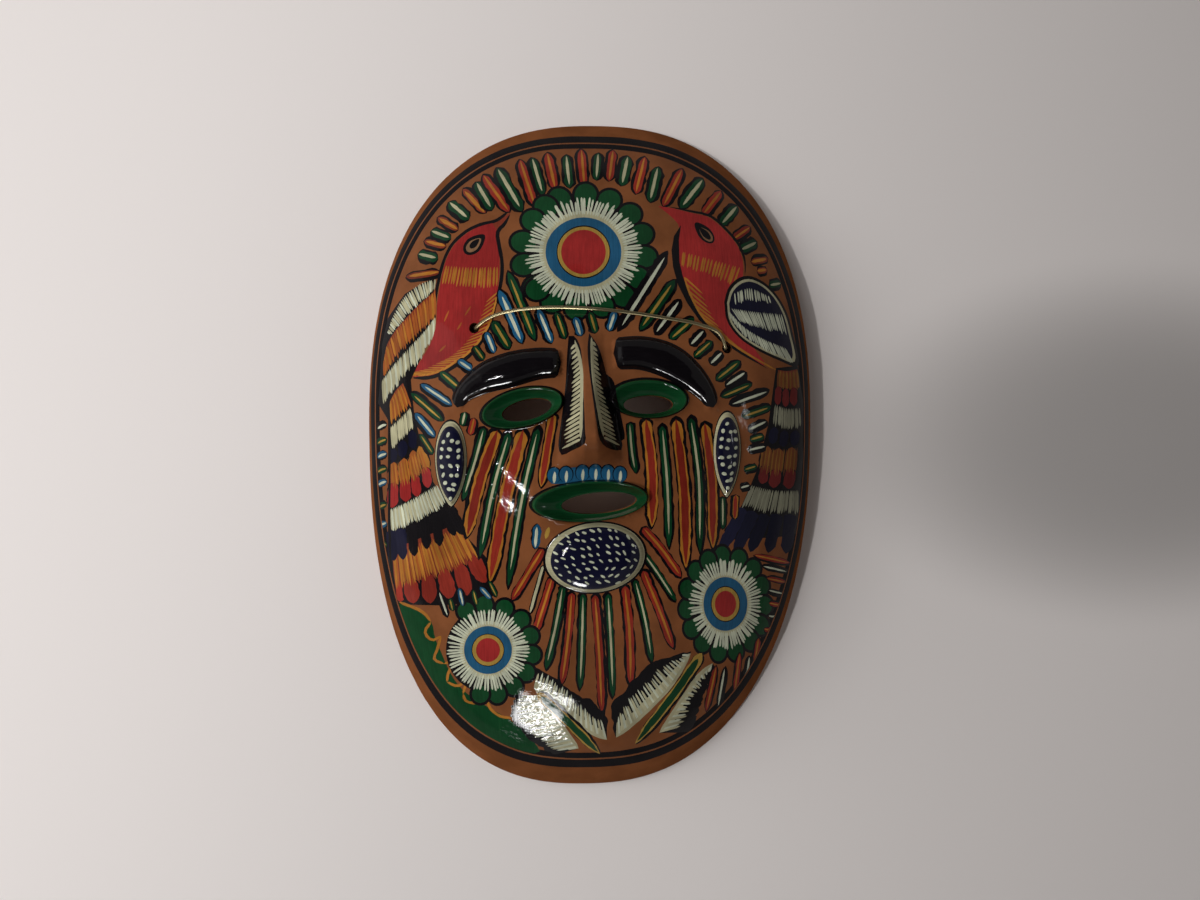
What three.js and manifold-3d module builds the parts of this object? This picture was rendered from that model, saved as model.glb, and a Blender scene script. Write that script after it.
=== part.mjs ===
// A painted clay mask lying face up on its rim, with the stiff wire that it hangs by.
// Millimetres. +Z comes out of the face, +Y points to the top of the head, +X to the right
// as the face is looked at. The origin is on the table, in the middle of the rim.

import * as THREE from 'three';
import { mergeVertices } from 'three/addons/utils/BufferGeometryUtils.js';
import Module from 'manifold-3d';

// The egg outline: the widest line divides the height into a crown and a longer chin part,
// and each of the two leans a little to one side, as pressed by hand
const maskWidth = 186;
const crownReach = 126;
const chinReach = 154;
const outlinePower = 2.41;
const crownLean = 1.1;
const chinLean = -3;

// The dome: its height without the nose, its wall, and the upright edge of the rim
const domeHeight = 60;
const wall = 6.5;
const rimEdge = 2.5;
const rimRounding = 1.1;

// How the dome falls off: a blend from the sides of the face to its crown and chin
const sideProfile = { reach: 2.2, steepness: 0.52 };
const endProfile = { reach: 2.6, steepness: 0.9 };

// The nose: a wedge from the bridge to its foot above the lip
const nose = {
  bridge: [-2.6, 45.5],
  foot: [-0.8, -4.4],
  height: 18,
  peakAt: 0.77,
  bridgeHalfWidth: 5.5,
  footHalfWidth: 12.6,
  ridgeShare: 0.2,
};

// The brows: clay rolls, each along its own line from the tip at the temple
const browHeight = 4;
const brows = [
  {
    line: [[-50.4, 18], [-48.4, 22.8], [-40.5, 28.4], [-30, 31.8], [-20, 33.8], [-11.6, 34]],
    tipHalfWidth: 1.9,
    midHalfWidth: 6.1,
    endHalfWidth: 4.8,
  },
  {
    line: [[44.8, 18], [42.6, 22.8], [36.6, 29.2], [28, 35], [18, 37.7], [7.4, 37.4]],
    tipHalfWidth: 1.9,
    midHalfWidth: 6.1,
    endHalfWidth: 5.4,
  },
];

// The eyes and the mouth: a raised rim that slopes in to an opening through the wall
const eyeRimHeight = 2.8;
const lipHeight = 4.2;
const openingDrop = 1.6;
const crestShare = 0.86;
const rings = [
  {
    height: eyeRimHeight,
    outer: { at: [-26, 17.6], half: [15.4, 7.1], tilt: 13 },
    opening: { at: [-24.4, 17], half: [9.4, 3.8], tilt: 13 },
  },
  {
    height: eyeRimHeight,
    outer: { at: [20.4, 21], half: [14.4, 7.1], tilt: -1 },
    opening: { at: [20.4, 18.9], half: [9.2, 3.4], tilt: 1 },
  },
  {
    height: lipHeight,
    outer: { at: [-1.3, -16.4], half: [21.4, 7.5], tilt: 4 },
    opening: { at: [2.2, -17.2], half: [13.9, 3.9], tilt: 5 },
  },
];

// The chin and the two ears: low pads with a round shoulder, the ears pointed below
const pads = [
  { at: [0.8, -37.4], half: [18, 12.7], tilt: 6, height: 4.5, taper: 0, sharp: 0 },
  { at: [-53, -3], half: [6.7, 15.3], tilt: 0, height: 3.6, taper: 0.25, sharp: 0.5 },
  { at: [50.4, 0.4], half: [5.9, 15.3], tilt: 0, height: 3.6, taper: 0.25, sharp: 0.5 },
];

// The hanging wire and its two holes, and how far it is bent up from the straight way
// between them: [share of the way, rise]
const wireHoles = [[-44.1, 47.6], [50.5, 40.5]];
const wireBend = [[0.05, 3.4], [0.12, 6], [0.25, 8.2], [0.42, 9.2], [0.6, 9], [0.76, 8.2], [0.89, 7.3], [0.97, 5]];
const holeDiameter = 4;
const wireDiameter = 1.3;
const wireLift = 2.2;
const wireTail = 15;
const wireClearance = 0.7;

// How finely the free forms are divided
const turnSteps = 72;
const outerSteps = 13;
const innerSteps = 8;
const ringSteps = 40;
const browSteps = 14;
const noseSteps = 12;
const acrossSteps = 8;
const wireSteps = 78;
const wireSides = 8;
const holeSides = 16;

// How far a relief is sunk into the wall, and how deep its edge starts under the surface
const reliefSink = 3;
const edgeSink = 0.3;

const halfWidth = maskWidth / 2;
const widestLine = (chinReach - crownReach) / 2;

const mix = (a, b, share) => a + (b - a) * share;

const wasm = await Module();
wasm.setup();

// The outline's reach from the middle of the widest line, in one direction
function outlineReach(angle) {
  const across = Math.abs(Math.cos(angle)) / halfWidth;
  const along = Math.abs(Math.sin(angle)) / (Math.sin(angle) > 0 ? crownReach : chinReach);
  return (across ** outlinePower + along ** outlinePower) ** (-1 / outlinePower);
}

// How far the outline's middle has moved sideways at a height of the face
function leanAt(y) {
  const off = y - widestLine;
  return off > 0 ? crownLean * (off / crownReach) ** 2 : chinLean * (off / chinReach) ** 2;
}

// The fall of the dome from its top (1) to the rim (0), in one direction
function domeFall(angle, share) {
  const across = Math.cos(angle) / halfWidth;
  const along = Math.sin(angle) / (Math.sin(angle) > 0 ? crownReach : chinReach);
  const endwise = along ** 2 / (across ** 2 + along ** 2);
  const reach = mix(sideProfile.reach, endProfile.reach, endwise);
  const steepness = mix(sideProfile.steepness, endProfile.steepness, endwise);
  return Math.max(0, 1 - share ** reach) ** steepness;
}

const outerHeight = (angle, share) => mix(rimEdge, domeHeight, domeFall(angle, share));
const innerHeight = (angle, share) => mix(rimRounding, domeHeight - wall, domeFall(angle, share));

function polar(x, y) {
  const [across, along] = [x - leanAt(y), y - widestLine];
  return { angle: Math.atan2(along, across), reach: Math.hypot(across, along) };
}

// The height of the plain dome and of the hollow behind it over a place of the plan
function domeAt(x, y) {
  const { angle, reach } = polar(x, y);
  return outerHeight(angle, Math.min(1, reach / outlineReach(angle)));
}

function hollowAt(x, y) {
  const { angle, reach } = polar(x, y);
  return innerHeight(angle, Math.min(1, reach / (outlineReach(angle) - wall)));
}

// How much a gap square to a sloping surface takes up when it is measured upright
function upright(heightAt, x, y, gap) {
  const step = 0.5;
  const slopeX = (heightAt(x + step, y) - heightAt(x - step, y)) / (2 * step);
  const slopeY = (heightAt(x, y + step) - heightAt(x, y - step)) / (2 * step);
  return gap * Math.hypot(1, slopeX, slopeY);
}

function geometryFrom(points, faces) {
  const geometry = new THREE.BufferGeometry();
  geometry.setAttribute('position', new THREE.Float32BufferAttribute(points.flat(), 3));
  geometry.setIndex(faces.flat());
  return geometry;
}

// A closed body through rings of equally many points, from the lowest to the highest;
// a ring without its own cap point is closed at the mean of its points
function loft(ringList, bottom, top) {
  const count = ringList[0].length;
  const points = ringList.flat();
  const faces = [];
  for (let level = 0; level + 1 < ringList.length; level += 1) {
    for (let i = 0; i < count; i += 1) {
      const next = (i + 1) % count;
      const [a, b] = [level * count + i, level * count + next];
      faces.push([a, b, b + count], [a, b + count, a + count]);
    }
  }
  const middle = (ring) => [0, 1, 2].map((k) => ring.reduce((s, p) => s + p[k], 0) / count);
  const low = points.push(bottom ?? middle(ringList[0])) - 1;
  const high = points.push(top ?? middle(ringList.at(-1))) - 1;
  const last = (ringList.length - 1) * count;
  for (let i = 0; i < count; i += 1) {
    const next = (i + 1) % count;
    faces.push([low, next, i], [high, last + i, last + next]);
  }
  return geometryFrom(points, faces);
}

// A closed body under a grid of surface points [x, y, lift], its sides sunk into the wall
function reliefSheet(grid) {
  const rows = grid.length;
  const columns = grid[0].length;
  const lifted = (lift) => grid.flat().map(([x, y, h]) => [x, y, domeAt(x, y) + lift(h)]);
  const points = [...lifted((h) => h), ...lifted(() => -reliefSink)];
  const under = rows * columns;
  const faces = [];
  for (let r = 0; r + 1 < rows; r += 1) {
    for (let c = 0; c + 1 < columns; c += 1) {
      const [a, b, d, e] = [r * columns + c, r * columns + c + 1, (r + 1) * columns + c,
        (r + 1) * columns + c + 1];
      faces.push([a, b, e], [a, e, d], [a + under, e + under, b + under],
        [a + under, d + under, e + under]);
    }
  }
  const border = [];
  for (let c = 0; c < columns - 1; c += 1) border.push(c);
  for (let r = 0; r < rows - 1; r += 1) border.push(r * columns + columns - 1);
  for (let c = columns - 1; c > 0; c -= 1) border.push((rows - 1) * columns + c);
  for (let r = rows - 1; r > 0; r -= 1) border.push(r * columns);
  border.forEach((a, i) => {
    const b = border[(i + 1) % border.length];
    faces.push([a, a + under, b + under], [a, b + under, b]);
  });
  return geometryFrom(points, faces);
}

function solid(geometry) {
  const plain = geometry.clone();
  plain.deleteAttribute('normal');
  plain.deleteAttribute('uv');
  const merged = mergeVertices(plain, 1e-4);
  return new wasm.Manifold(new wasm.Mesh({
    numProp: 3,
    vertProperties: new Float32Array(merged.attributes.position.array),
    triVerts: new Uint32Array(merged.index.array),
  }));
}

function geometryOf(body) {
  const mesh = body.getMesh();
  const geometry = new THREE.BufferGeometry();
  geometry.setAttribute('position', new THREE.BufferAttribute(mesh.vertProperties, 3));
  geometry.setIndex(new THREE.BufferAttribute(mesh.triVerts, 1));
  geometry.computeVertexNormals();
  return geometry;
}

// One ring of points round the widest line's middle, each at its share of the outline
function turnRing(place) {
  return Array.from({ length: turnSteps }, (_, i) => {
    const angle = (i / turnSteps) * 2 * Math.PI;
    const { reach, z } = place(angle);
    const y = widestLine + reach * Math.sin(angle);
    return [reach * Math.cos(angle) + leanAt(y), y, z];
  });
}

// Shares of the outline that crowd towards the steep rim
const towardsRim = (step, steps) => 1 - (1 - step / steps) ** 1.8;

// The hollow shell: up over the dome from the rim and down again inside it
function shell() {
  const outside = [];
  for (let step = outerSteps; step > 0; step -= 1) {
    const share = towardsRim(step, outerSteps);
    outside.push(turnRing((angle) => ({
      reach: outlineReach(angle) * share,
      z: outerHeight(angle, share),
    })));
  }
  const inside = [];
  for (let step = 1; step <= innerSteps; step += 1) {
    const share = towardsRim(step, innerSteps);
    inside.push(turnRing((angle) => ({
      reach: (outlineReach(angle) - wall) * share,
      z: innerHeight(angle, share),
    })));
  }
  const rim = [
    [wall - rimRounding, 0],
    [rimRounding, 0],
    [0, rimRounding],
  ].map(([inset, z]) => turnRing((angle) => ({ reach: outlineReach(angle) - inset, z })));
  const innerTop = [0, widestLine, domeHeight - wall];
  const outerTop = [0, widestLine, domeHeight];
  return solid(loft([...inside, ...rim, ...outside], innerTop, outerTop));
}

// A point on an oval, which may narrow downwards and end there in a point
function ovalPoint({ at, half, tilt, taper = 0, sharp = 0 }, angle, share = 1) {
  const low = (1 - Math.sin(angle)) / 2;
  const narrow = (1 - taper * low) * Math.abs(Math.cos(angle)) ** (sharp * low);
  const across = half[0] * Math.cos(angle) * narrow * share;
  const along = half[1] * Math.sin(angle) * share;
  const turn = THREE.MathUtils.degToRad(tilt);
  return [
    at[0] + across * Math.cos(turn) - along * Math.sin(turn),
    at[1] + across * Math.sin(turn) + along * Math.cos(turn),
  ];
}

function liftedOval(oval, lift, share = 1) {
  return Array.from({ length: ringSteps }, (_, i) => {
    const [x, y] = ovalPoint(oval, (i / ringSteps) * 2 * Math.PI, share);
    return [x, y, domeAt(x, y) + lift];
  });
}

// A pad rises steeply at its foot and is nearly level on top
function pad(spec) {
  const levels = [[1, -reliefSink], [1, -edgeSink], [0.97, 0.36], [0.88, 0.68], [0.7, 0.88], [0.4, 0.98]];
  return solid(loft(levels.map(([share, lift]) => {
    return liftedOval(spec, lift > 0 ? lift * spec.height : lift, share);
  })));
}

// The oval that lies between the opening (0) and the outer edge (1) of a ring
function between({ opening, outer }, share) {
  return {
    at: opening.at.map((value, k) => mix(value, outer.at[k], share)),
    half: opening.half.map((value, k) => mix(value, outer.half[k], share)),
    tilt: mix(opening.tilt, outer.tilt, share),
  };
}

function rimBody(ring) {
  const levels = [[1, -reliefSink], [1, -edgeSink], [0.95, ring.height * 0.75], [crestShare, ring.height]];
  return solid(loft(levels.map(([share, lift]) => liftedOval(between(ring, share), lift))));
}

// What is cut away inside a ring: the slope from its crest and the opening through the wall
function rimCut(ring) {
  const bottom = liftedOval(ring.opening, 0).map(([x, y]) => [x, y, -1]);
  const slope = [
    [0, -openingDrop],
    [0.45, ring.height * 0.1],
    [crestShare, ring.height],
    [crestShare, ring.height + wall],
  ].map(([share, lift]) => liftedOval(between(ring, share), lift));
  return solid(loft([bottom, ...slope]));
}

// A brow: a roll of clay whose width grows from its tip, with rounded ends
function brow({ line, tipHalfWidth, midHalfWidth, endHalfWidth }) {
  const curve = new THREE.CatmullRomCurve3(line.map(([x, y]) => new THREE.Vector3(x, y, 0)));
  const grid = [];
  for (let step = 0; step <= browSteps; step += 1) {
    const along = step / browSteps;
    const at = curve.getPointAt(along);
    const way = curve.getTangentAt(along);
    const wide = along < 0.6
      ? mix(tipHalfWidth, midHalfWidth, Math.sin((along / 0.6) * Math.PI / 2))
      : mix(midHalfWidth, endHalfWidth, (along - 0.6) / 0.4);
    const ends = Math.min(1, 8 * along, 14 * (1 - along)) ** 0.5;
    const row = [];
    for (let k = 0; k <= acrossSteps; k += 1) {
      const u = -Math.cos((k / acrossSteps) * Math.PI);
      const roll = (1 - Math.abs(u) ** 2.6) ** 0.6 * ends * mix(0.6, 1, Math.min(1, 3 * along));
      row.push([at.x + way.y * u * wide, at.y - way.x * u * wide, browHeight * roll - edgeSink * (1 - roll)]);
    }
    grid.push(row);
  }
  return facingUp(grid);
}

// A relief sheet is turned the right way round whichever way its grid runs
function facingUp(grid) {
  const [a, b, c] = [grid[0][0], grid[0].at(-1), grid.at(-1)[0]];
  const turnsLeft = (b[0] - a[0]) * (c[1] - a[1]) - (b[1] - a[1]) * (c[0] - a[0]) > 0;
  return solid(reliefSheet(turnsLeft ? grid : grid.map((row) => [...row].reverse())));
}

// The nose: its ridge climbs from the bridge to the peak and drops to the foot
function noseBody() {
  const grid = [];
  for (let step = 0; step <= noseSteps; step += 1) {
    const along = step / noseSteps;
    const climb = along < nose.peakAt
      ? (along / nose.peakAt) ** 0.95
      : Math.cos(((along - nose.peakAt) / (1 - nose.peakAt)) * Math.PI / 2) ** 0.9;
    const wide = mix(nose.bridgeHalfWidth, nose.footHalfWidth, along ** 1.2);
    const row = [];
    for (let k = 0; k <= acrossSteps + 2; k += 1) {
      const u = -Math.cos((k / (acrossSteps + 2)) * Math.PI);
      const off = Math.max(0, (Math.abs(u) - nose.ridgeShare) / (1 - nose.ridgeShare));
      const lift = nose.height * climb * (1 - off ** 1.2);
      row.push([
        mix(nose.bridge[0], nose.foot[0], along) + u * wide,
        mix(nose.bridge[1], nose.foot[1], along),
        lift - edgeSink * (1 - lift / nose.height),
      ]);
    }
    grid.push(row);
  }
  return facingUp(grid);
}

function holeCut([x, y]) {
  const drill = new THREE.CylinderGeometry(holeDiameter / 2, holeDiameter / 2, 2 * domeHeight, holeSides);
  drill.rotateX(Math.PI / 2);
  drill.translate(x, y, domeHeight);
  return solid(drill);
}

function maskGeometry() {
  let body = shell();
  for (const part of [noseBody(), ...brows.map(brow), ...rings.map(rimBody), ...pads.map(pad)]) {
    body = body.add(part);
  }
  for (const cut of [...rings.map(rimCut), ...wireHoles.map(holeCut)]) {
    body = body.subtract(cut);
  }
  return geometryOf(body);
}

// The wire runs over the brow in a low bow, through both holes, and is turned outwards behind
function wirePath() {
  const radius = wireDiameter / 2;
  const [left, right] = wireHoles;
  const inHole = holeDiameter / 2 - radius - wireClearance;
  const clear = radius + wireClearance;
  const points = [];
  const place = (x, y, z) => points.push(new THREE.Vector3(x, y, z));
  const tail = (hole, side) => [1, 0.66, 0.32, 0.1].map((share) => {
    const x = hole[0] + side * wireTail * share;
    const y = hole[1] + wireTail * 0.25 * share;
    return [x, y, hollowAt(x, y) - upright(hollowAt, x, y, clear)];
  });
  const throughHole = (hole, side) => {
    const x = hole[0] - side * inHole;
    return [
      [x, hole[1], hollowAt(x, hole[1]) + wall / 3],
      [x, hole[1], domeAt(x, hole[1])],
    ];
  };
  tail(left, -1).forEach((p) => place(...p));
  throughHole(left, -1).forEach((p) => place(...p));
  for (const [share, rise] of wireBend) {
    const x = mix(left[0] + inHole, right[0] - inHole, share);
    const y = mix(left[1], right[1], share) + rise;
    const lift = wireLift * Math.sin(Math.PI * share) ** 0.5;
    place(x, y, domeAt(x, y) + upright(domeAt, x, y, clear) + lift);
  }
  throughHole(right, 1).reverse().forEach((p) => place(...p));
  tail(right, 1).reverse().forEach((p) => place(...p));
  return new THREE.CatmullRomCurve3(points, false, 'centripetal');
}

function wireGeometry() {
  const section = new THREE.Shape();
  for (let i = 0; i < wireSides; i += 1) {
    const angle = (i / wireSides) * 2 * Math.PI;
    const [x, y] = [Math.cos(angle) * wireDiameter / 2, Math.sin(angle) * wireDiameter / 2];
    if (i === 0) section.moveTo(x, y);
    else section.lineTo(x, y);
  }
  section.closePath();
  return new THREE.ExtrudeGeometry(section, { steps: wireSteps, extrudePath: wirePath() });
}

function named(name, geometry, material) {
  const mesh = new THREE.Mesh(geometry, material);
  mesh.name = name;
  return mesh;
}

const clay = new THREE.MeshStandardMaterial({ color: 0x7a5030, roughness: 0.4, metalness: 0 });
const brass = new THREE.MeshStandardMaterial({ color: 0x8a7a45, roughness: 0.35, metalness: 1 });

const mask = new THREE.Group();
mask.add(named('mask', maskGeometry(), clay));
mask.add(named('hanging_wire', wireGeometry(), brass));

export default mask;
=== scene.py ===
import math

import bpy
import numpy as np
from mathutils import Matrix, Vector
from mathutils.geometry import delaunay_2d_cdt


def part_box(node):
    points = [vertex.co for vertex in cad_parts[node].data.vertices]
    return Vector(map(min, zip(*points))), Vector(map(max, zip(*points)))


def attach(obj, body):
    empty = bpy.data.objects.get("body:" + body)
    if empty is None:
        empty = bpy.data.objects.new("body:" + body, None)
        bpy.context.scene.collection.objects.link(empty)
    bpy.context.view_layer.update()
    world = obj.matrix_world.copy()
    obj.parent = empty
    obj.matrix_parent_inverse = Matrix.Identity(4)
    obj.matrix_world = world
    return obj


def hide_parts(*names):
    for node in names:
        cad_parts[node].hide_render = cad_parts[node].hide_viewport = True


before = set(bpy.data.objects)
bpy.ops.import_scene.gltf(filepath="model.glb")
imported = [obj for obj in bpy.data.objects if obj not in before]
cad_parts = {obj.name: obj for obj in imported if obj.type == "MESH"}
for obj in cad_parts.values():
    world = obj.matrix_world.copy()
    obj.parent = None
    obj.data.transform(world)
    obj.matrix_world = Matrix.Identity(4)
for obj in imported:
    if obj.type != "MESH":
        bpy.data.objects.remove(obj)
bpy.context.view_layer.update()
bpy.ops.object.select_all(action="DESELECT")

# Lengths are in millimetres and become metres when a mesh is made
metre = 0.001
maskLow, maskHigh = [np.array(corner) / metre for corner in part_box("mask")]
halfWidth = (maskHigh[0] - maskLow[0]) / 2

form = {
    "crownReach": 126.0,
    "chinReach": 154.0,
    "outlinePower": 2.41,
    "crownLean": 1.1,
    "chinLean": -3.0,
    "domeHeight": 60.0,
    "wall": 6.5,
    "rimEdge": 2.5,
    "rimRounding": 1.1,
    "sideReach": 2.2,
    "sideSteepness": 0.52,
    "endReach": 2.6,
    "endSteepness": 0.9,
    "unevenness": 0.16,
}
widestLine = (form["chinReach"] - form["crownReach"]) / 2

nose = {
    "bridge": (-2.6, 45.5),
    "foot": (-0.8, -4.4),
    "height": 18.0,
    "peakAt": 0.77,
    "bridgeHalfWidth": 5.5,
    "footHalfWidth": 12.6,
    "ridgeShare": 0.2,
    "climbPower": 0.95,
    "dropPower": 0.9,
    "flarePower": 1.2,
    "sidePower": 1.2,
    "outerSlope": 1.4,
    "softness": 0.9,
}
# How a brow's back rises from its ends and its sides; a width is half the brow's, in millimetres
browForm = {
    "height": 4.0,
    "tipRise": 8,
    "endRise": 14,
    "tipHeight": 0.6,
    "tipSpan": 3,
    "roundness": 2.6,
    "steepness": 0.6,
    "outerSlope": 4,
    "widestAt": 0.6,
}
brows = [
    {
        "line": [(-50.4, 18), (-48.4, 22.8), (-40.5, 28.4), (-30, 31.8), (-20, 33.8), (-11.6, 34)],
        "tip": 1.9,
        "mid": 6.1,
        "end": 4.8,
    },
    {
        "line": [(44.8, 18), (42.6, 22.8), (36.6, 29.2), (28, 35), (18, 37.7), (7.4, 37.4)],
        "tip": 1.9,
        "mid": 6.1,
        "end": 5.4,
    },
]
# Eye rims and lips: ovals that rise from an opening to a crest and fall to the outer edge. An oval is
# its middle, its half widths across and along, in millimetres, and its tilt in degrees.
openingDrop = 1.6
crestShare = 0.86
rings = [
    {"height": 2.8, "outer": (-26, 17.6, 15.4, 7.1, 13), "opening": (-24.4, 17, 9.4, 3.8, 13)},
    {"height": 2.8, "outer": (20.4, 21, 14.4, 7.1, -1), "opening": (20.4, 18.9, 9.2, 3.4, 1)},
    {"height": 4.2, "outer": (-1.3, -16.4, 21.4, 7.5, 4), "opening": (2.2, -17.2, 13.9, 3.9, 5)},
]
pads = [
    {"oval": (0.8, -37.4, 18, 12.7, 6), "height": 4.5, "taper": 0.0, "sharp": 0.0},
    {"oval": (-53, -3, 6.7, 15.3, 0), "height": 3.6, "taper": 0.25, "sharp": 0.5},
    {"oval": (50.4, 0.4, 5.9, 15.3, 0), "height": 3.6, "taper": 0.25, "sharp": 0.5},
]
holes = [(-44.1, 47.6), (50.5, 40.5)]
holeDiameter = 4.0


def mix(a, b, share):
    return a + (b - a) * share


def leanAt(y):
    off = y - widestLine
    crown = form["crownLean"] * (off / form["crownReach"]) ** 2
    chin = form["chinLean"] * (off / form["chinReach"]) ** 2
    return np.where(off > 0, crown, chin)


def endwiseAt(angle):
    end = np.where(np.sin(angle) > 0, form["crownReach"], form["chinReach"])
    return np.cos(angle) / halfWidth, np.sin(angle) / end


def reachAt(angle):
    across, along = endwiseAt(angle)
    power = form["outlinePower"]
    return (np.abs(across) ** power + np.abs(along) ** power) ** (-1 / power)


def fallAt(angle, share):
    across, along = endwiseAt(angle)
    endwise = along**2 / (across**2 + along**2)
    reach = mix(form["sideReach"], form["endReach"], endwise)
    steepness = mix(form["sideSteepness"], form["endSteepness"], endwise)
    return np.clip(1 - share**reach, 0, None) ** steepness


def polar(x, y):
    across = x - leanAt(y)
    return np.arctan2(y - widestLine, across), np.hypot(across, y - widestLine)


def flat(angle, distance):
    y = widestLine + distance * np.sin(angle)
    return distance * np.cos(angle) + leanAt(y), y


def look(table, row, column):
    i = np.clip(np.floor(row).astype(int), 0, table.shape[0] - 2)
    j = np.clip(np.floor(column).astype(int), 0, table.shape[1] - 2)
    a = row - i
    b = column - j
    low = table[i, j] * (1 - a) + table[i + 1, j] * a
    high = table[i, j + 1] * (1 - a) + table[i + 1, j + 1] * a
    return low * (1 - b) + high * b


class Sheet:
    # One side of the clay wall, rolled out flat round its middle so that lengths are kept.

    turns = 1440
    steps = 480
    crowding = 2.6

    def __init__(self, inset, low, high):
        self.inset = inset
        self.low = low
        self.high = high
        angle = np.linspace(-math.pi, math.pi, self.turns + 1)
        share = 1 - (1 - np.linspace(0, 1, self.steps + 1)) ** self.crowding
        turn, part = np.meshgrid(angle, share, indexing="ij")
        distance = part * (reachAt(turn) - inset)
        z = mix(low, high, fallAt(turn, part))
        pieces = np.hypot(np.diff(distance, axis=1), np.diff(z, axis=1))
        self.arcs = np.concatenate([np.zeros((self.turns + 1, 1)), np.cumsum(pieces, axis=1)], axis=1)
        self.total = self.arcs[:, -1]
        even = np.linspace(0, 1, self.steps + 1)
        self.shares = np.array([np.interp(even * row[-1], row, share) for row in self.arcs])
        self.rises = np.array([np.interp(even * arc[-1], arc, row) for arc, row in zip(self.arcs, z)])

    def row(self, angle):
        return (angle + math.pi) / (2 * math.pi) * self.turns

    def lay(self, x, y):
        angle, distance = polar(np.asarray(x, float), np.asarray(y, float))
        share = np.clip(distance / (reachAt(angle) - self.inset), 0, 1)
        column = (1 - (1 - share) ** (1 / self.crowding)) * self.steps
        arc = look(self.arcs, self.row(angle), column)
        return arc * np.cos(angle), arc * np.sin(angle)

    def edge(self, angle, inset=0.0):
        length = np.interp(self.row(angle), np.arange(self.turns + 1), self.total)
        return (length - inset) * np.cos(angle), (length - inset) * np.sin(angle)

    def lift(self, u, v):
        arc = np.hypot(u, v)
        angle = np.arctan2(v, u)
        row = self.row(angle)
        length = np.interp(row, np.arange(self.turns + 1), self.total)
        column = np.clip(arc / length, 0, 1) * self.steps
        share = look(self.shares, row, column)
        x, y = flat(angle, share * (reachAt(angle) - self.inset))
        return x, y, look(self.rises, row, column)


outer = Sheet(0.0, form["rimEdge"], form["domeHeight"])
inner = Sheet(form["wall"], form["rimRounding"], form["domeHeight"] - form["wall"])


def laid(x, y):
    return np.stack(outer.lay(x, y), axis=-1)


def softPositive(value, width):
    return (value + np.sqrt(value**2 + width**2)) / 2


def noseAt(x, y):
    (bx, by), (fx, fy) = nose["bridge"], nose["foot"]
    along = (by - y) / (by - fy)
    inside = np.clip(along, 0, 1)
    rise = (inside / nose["peakAt"]) ** nose["climbPower"]
    past = np.clip((inside - nose["peakAt"]) / (1 - nose["peakAt"]), 0, 1)
    drop = np.cos(past * math.pi / 2) ** nose["dropPower"]
    climb = np.where(inside < nose["peakAt"], rise, drop)
    wide = mix(nose["bridgeHalfWidth"], nose["footHalfWidth"], inside ** nose["flarePower"])
    off = (np.abs(x - mix(bx, fx, inside)) / wide - nose["ridgeShare"]) / (1 - nose["ridgeShare"])
    off = np.clip(off, 0, None)
    flank = nose["height"] * climb * (1 - off ** nose["sidePower"])
    lift = np.where(off < 1, flank, (1 - off) * wide * nose["outerSlope"])
    beyond = np.abs(along - inside) * (by - fy)
    return softPositive(lift - nose["outerSlope"] * beyond - 0.25, nose["softness"])


def smoothLine(points, count):
    # A centripetal curve through the points, in steps of one length.
    p = np.array(points, float)
    p = np.vstack([2 * p[0] - p[1], p, 2 * p[-1] - p[-2]])
    knots = np.concatenate([[0], np.cumsum(np.linalg.norm(np.diff(p, axis=0), axis=1) ** 0.5 + 1e-9)])
    out = []
    for k in range(1, len(p) - 2):
        t0, t1, t2, t3 = knots[k - 1 : k + 3]
        t = np.linspace(t1, t2, 24, endpoint=k == len(p) - 3)[:, None]
        a1 = mix(p[k - 1], p[k], (t - t0) / (t1 - t0))
        a2 = mix(p[k], p[k + 1], (t - t1) / (t2 - t1))
        a3 = mix(p[k + 1], p[k + 2], (t - t2) / (t3 - t2))
        b1 = mix(a1, a2, (t - t0) / (t2 - t0))
        b2 = mix(a2, a3, (t - t1) / (t3 - t1))
        out.append(mix(b1, b2, (t - t1) / (t2 - t1)))
    fine = np.vstack(out)
    length = np.concatenate([[0], np.cumsum(np.linalg.norm(np.diff(fine, axis=0), axis=1))])
    even = np.linspace(0, length[-1], count)
    return np.array([np.interp(even, length, fine[:, k]) for k in range(p.shape[1])]).T


def besideLine(line, x, y):
    # The share along a line and the distance from it, for each place.
    best = np.full(np.shape(x), 1e9)
    along = np.zeros(np.shape(x))
    for k in range(len(line) - 1):
        ax, ay = line[k]
        dx, dy = line[k + 1] - line[k]
        t = np.clip(((x - ax) * dx + (y - ay) * dy) / (dx**2 + dy**2), 0, 1)
        away = np.hypot(x - ax - dx * t, y - ay - dy * t)
        closer = away < best
        along = np.where(closer, (k + t) / (len(line) - 1), along)
        best = np.minimum(best, away)
    return along, best


def browWidth(brow, along):
    widest = browForm["widestAt"]
    growing = mix(brow["tip"], brow["mid"], np.sin(np.clip(along / widest, 0, 1) * math.pi / 2))
    waning = mix(brow["mid"], brow["end"], (along - widest) / 0.4)
    return np.where(along < widest, growing, waning)


def browAt(brow, x, y):
    along, away = besideLine(smoothLine(brow["line"], 60), x, y)
    u = away / browWidth(brow, along)
    nearEnd = np.minimum(browForm["tipRise"] * along, browForm["endRise"] * (1 - along))
    ends = np.clip(nearEnd, 0, 1) ** 0.5
    growth = mix(browForm["tipHeight"], 1, np.clip(browForm["tipSpan"] * along, 0, 1))
    tall = browForm["height"] * ends * growth
    back = np.clip(1 - u ** browForm["roundness"], 0, None) ** browForm["steepness"]
    lift = np.where(u < 1, tall * back, (1 - u) * browForm["outerSlope"])
    return softPositive(lift - 0.2, 0.6)


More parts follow.
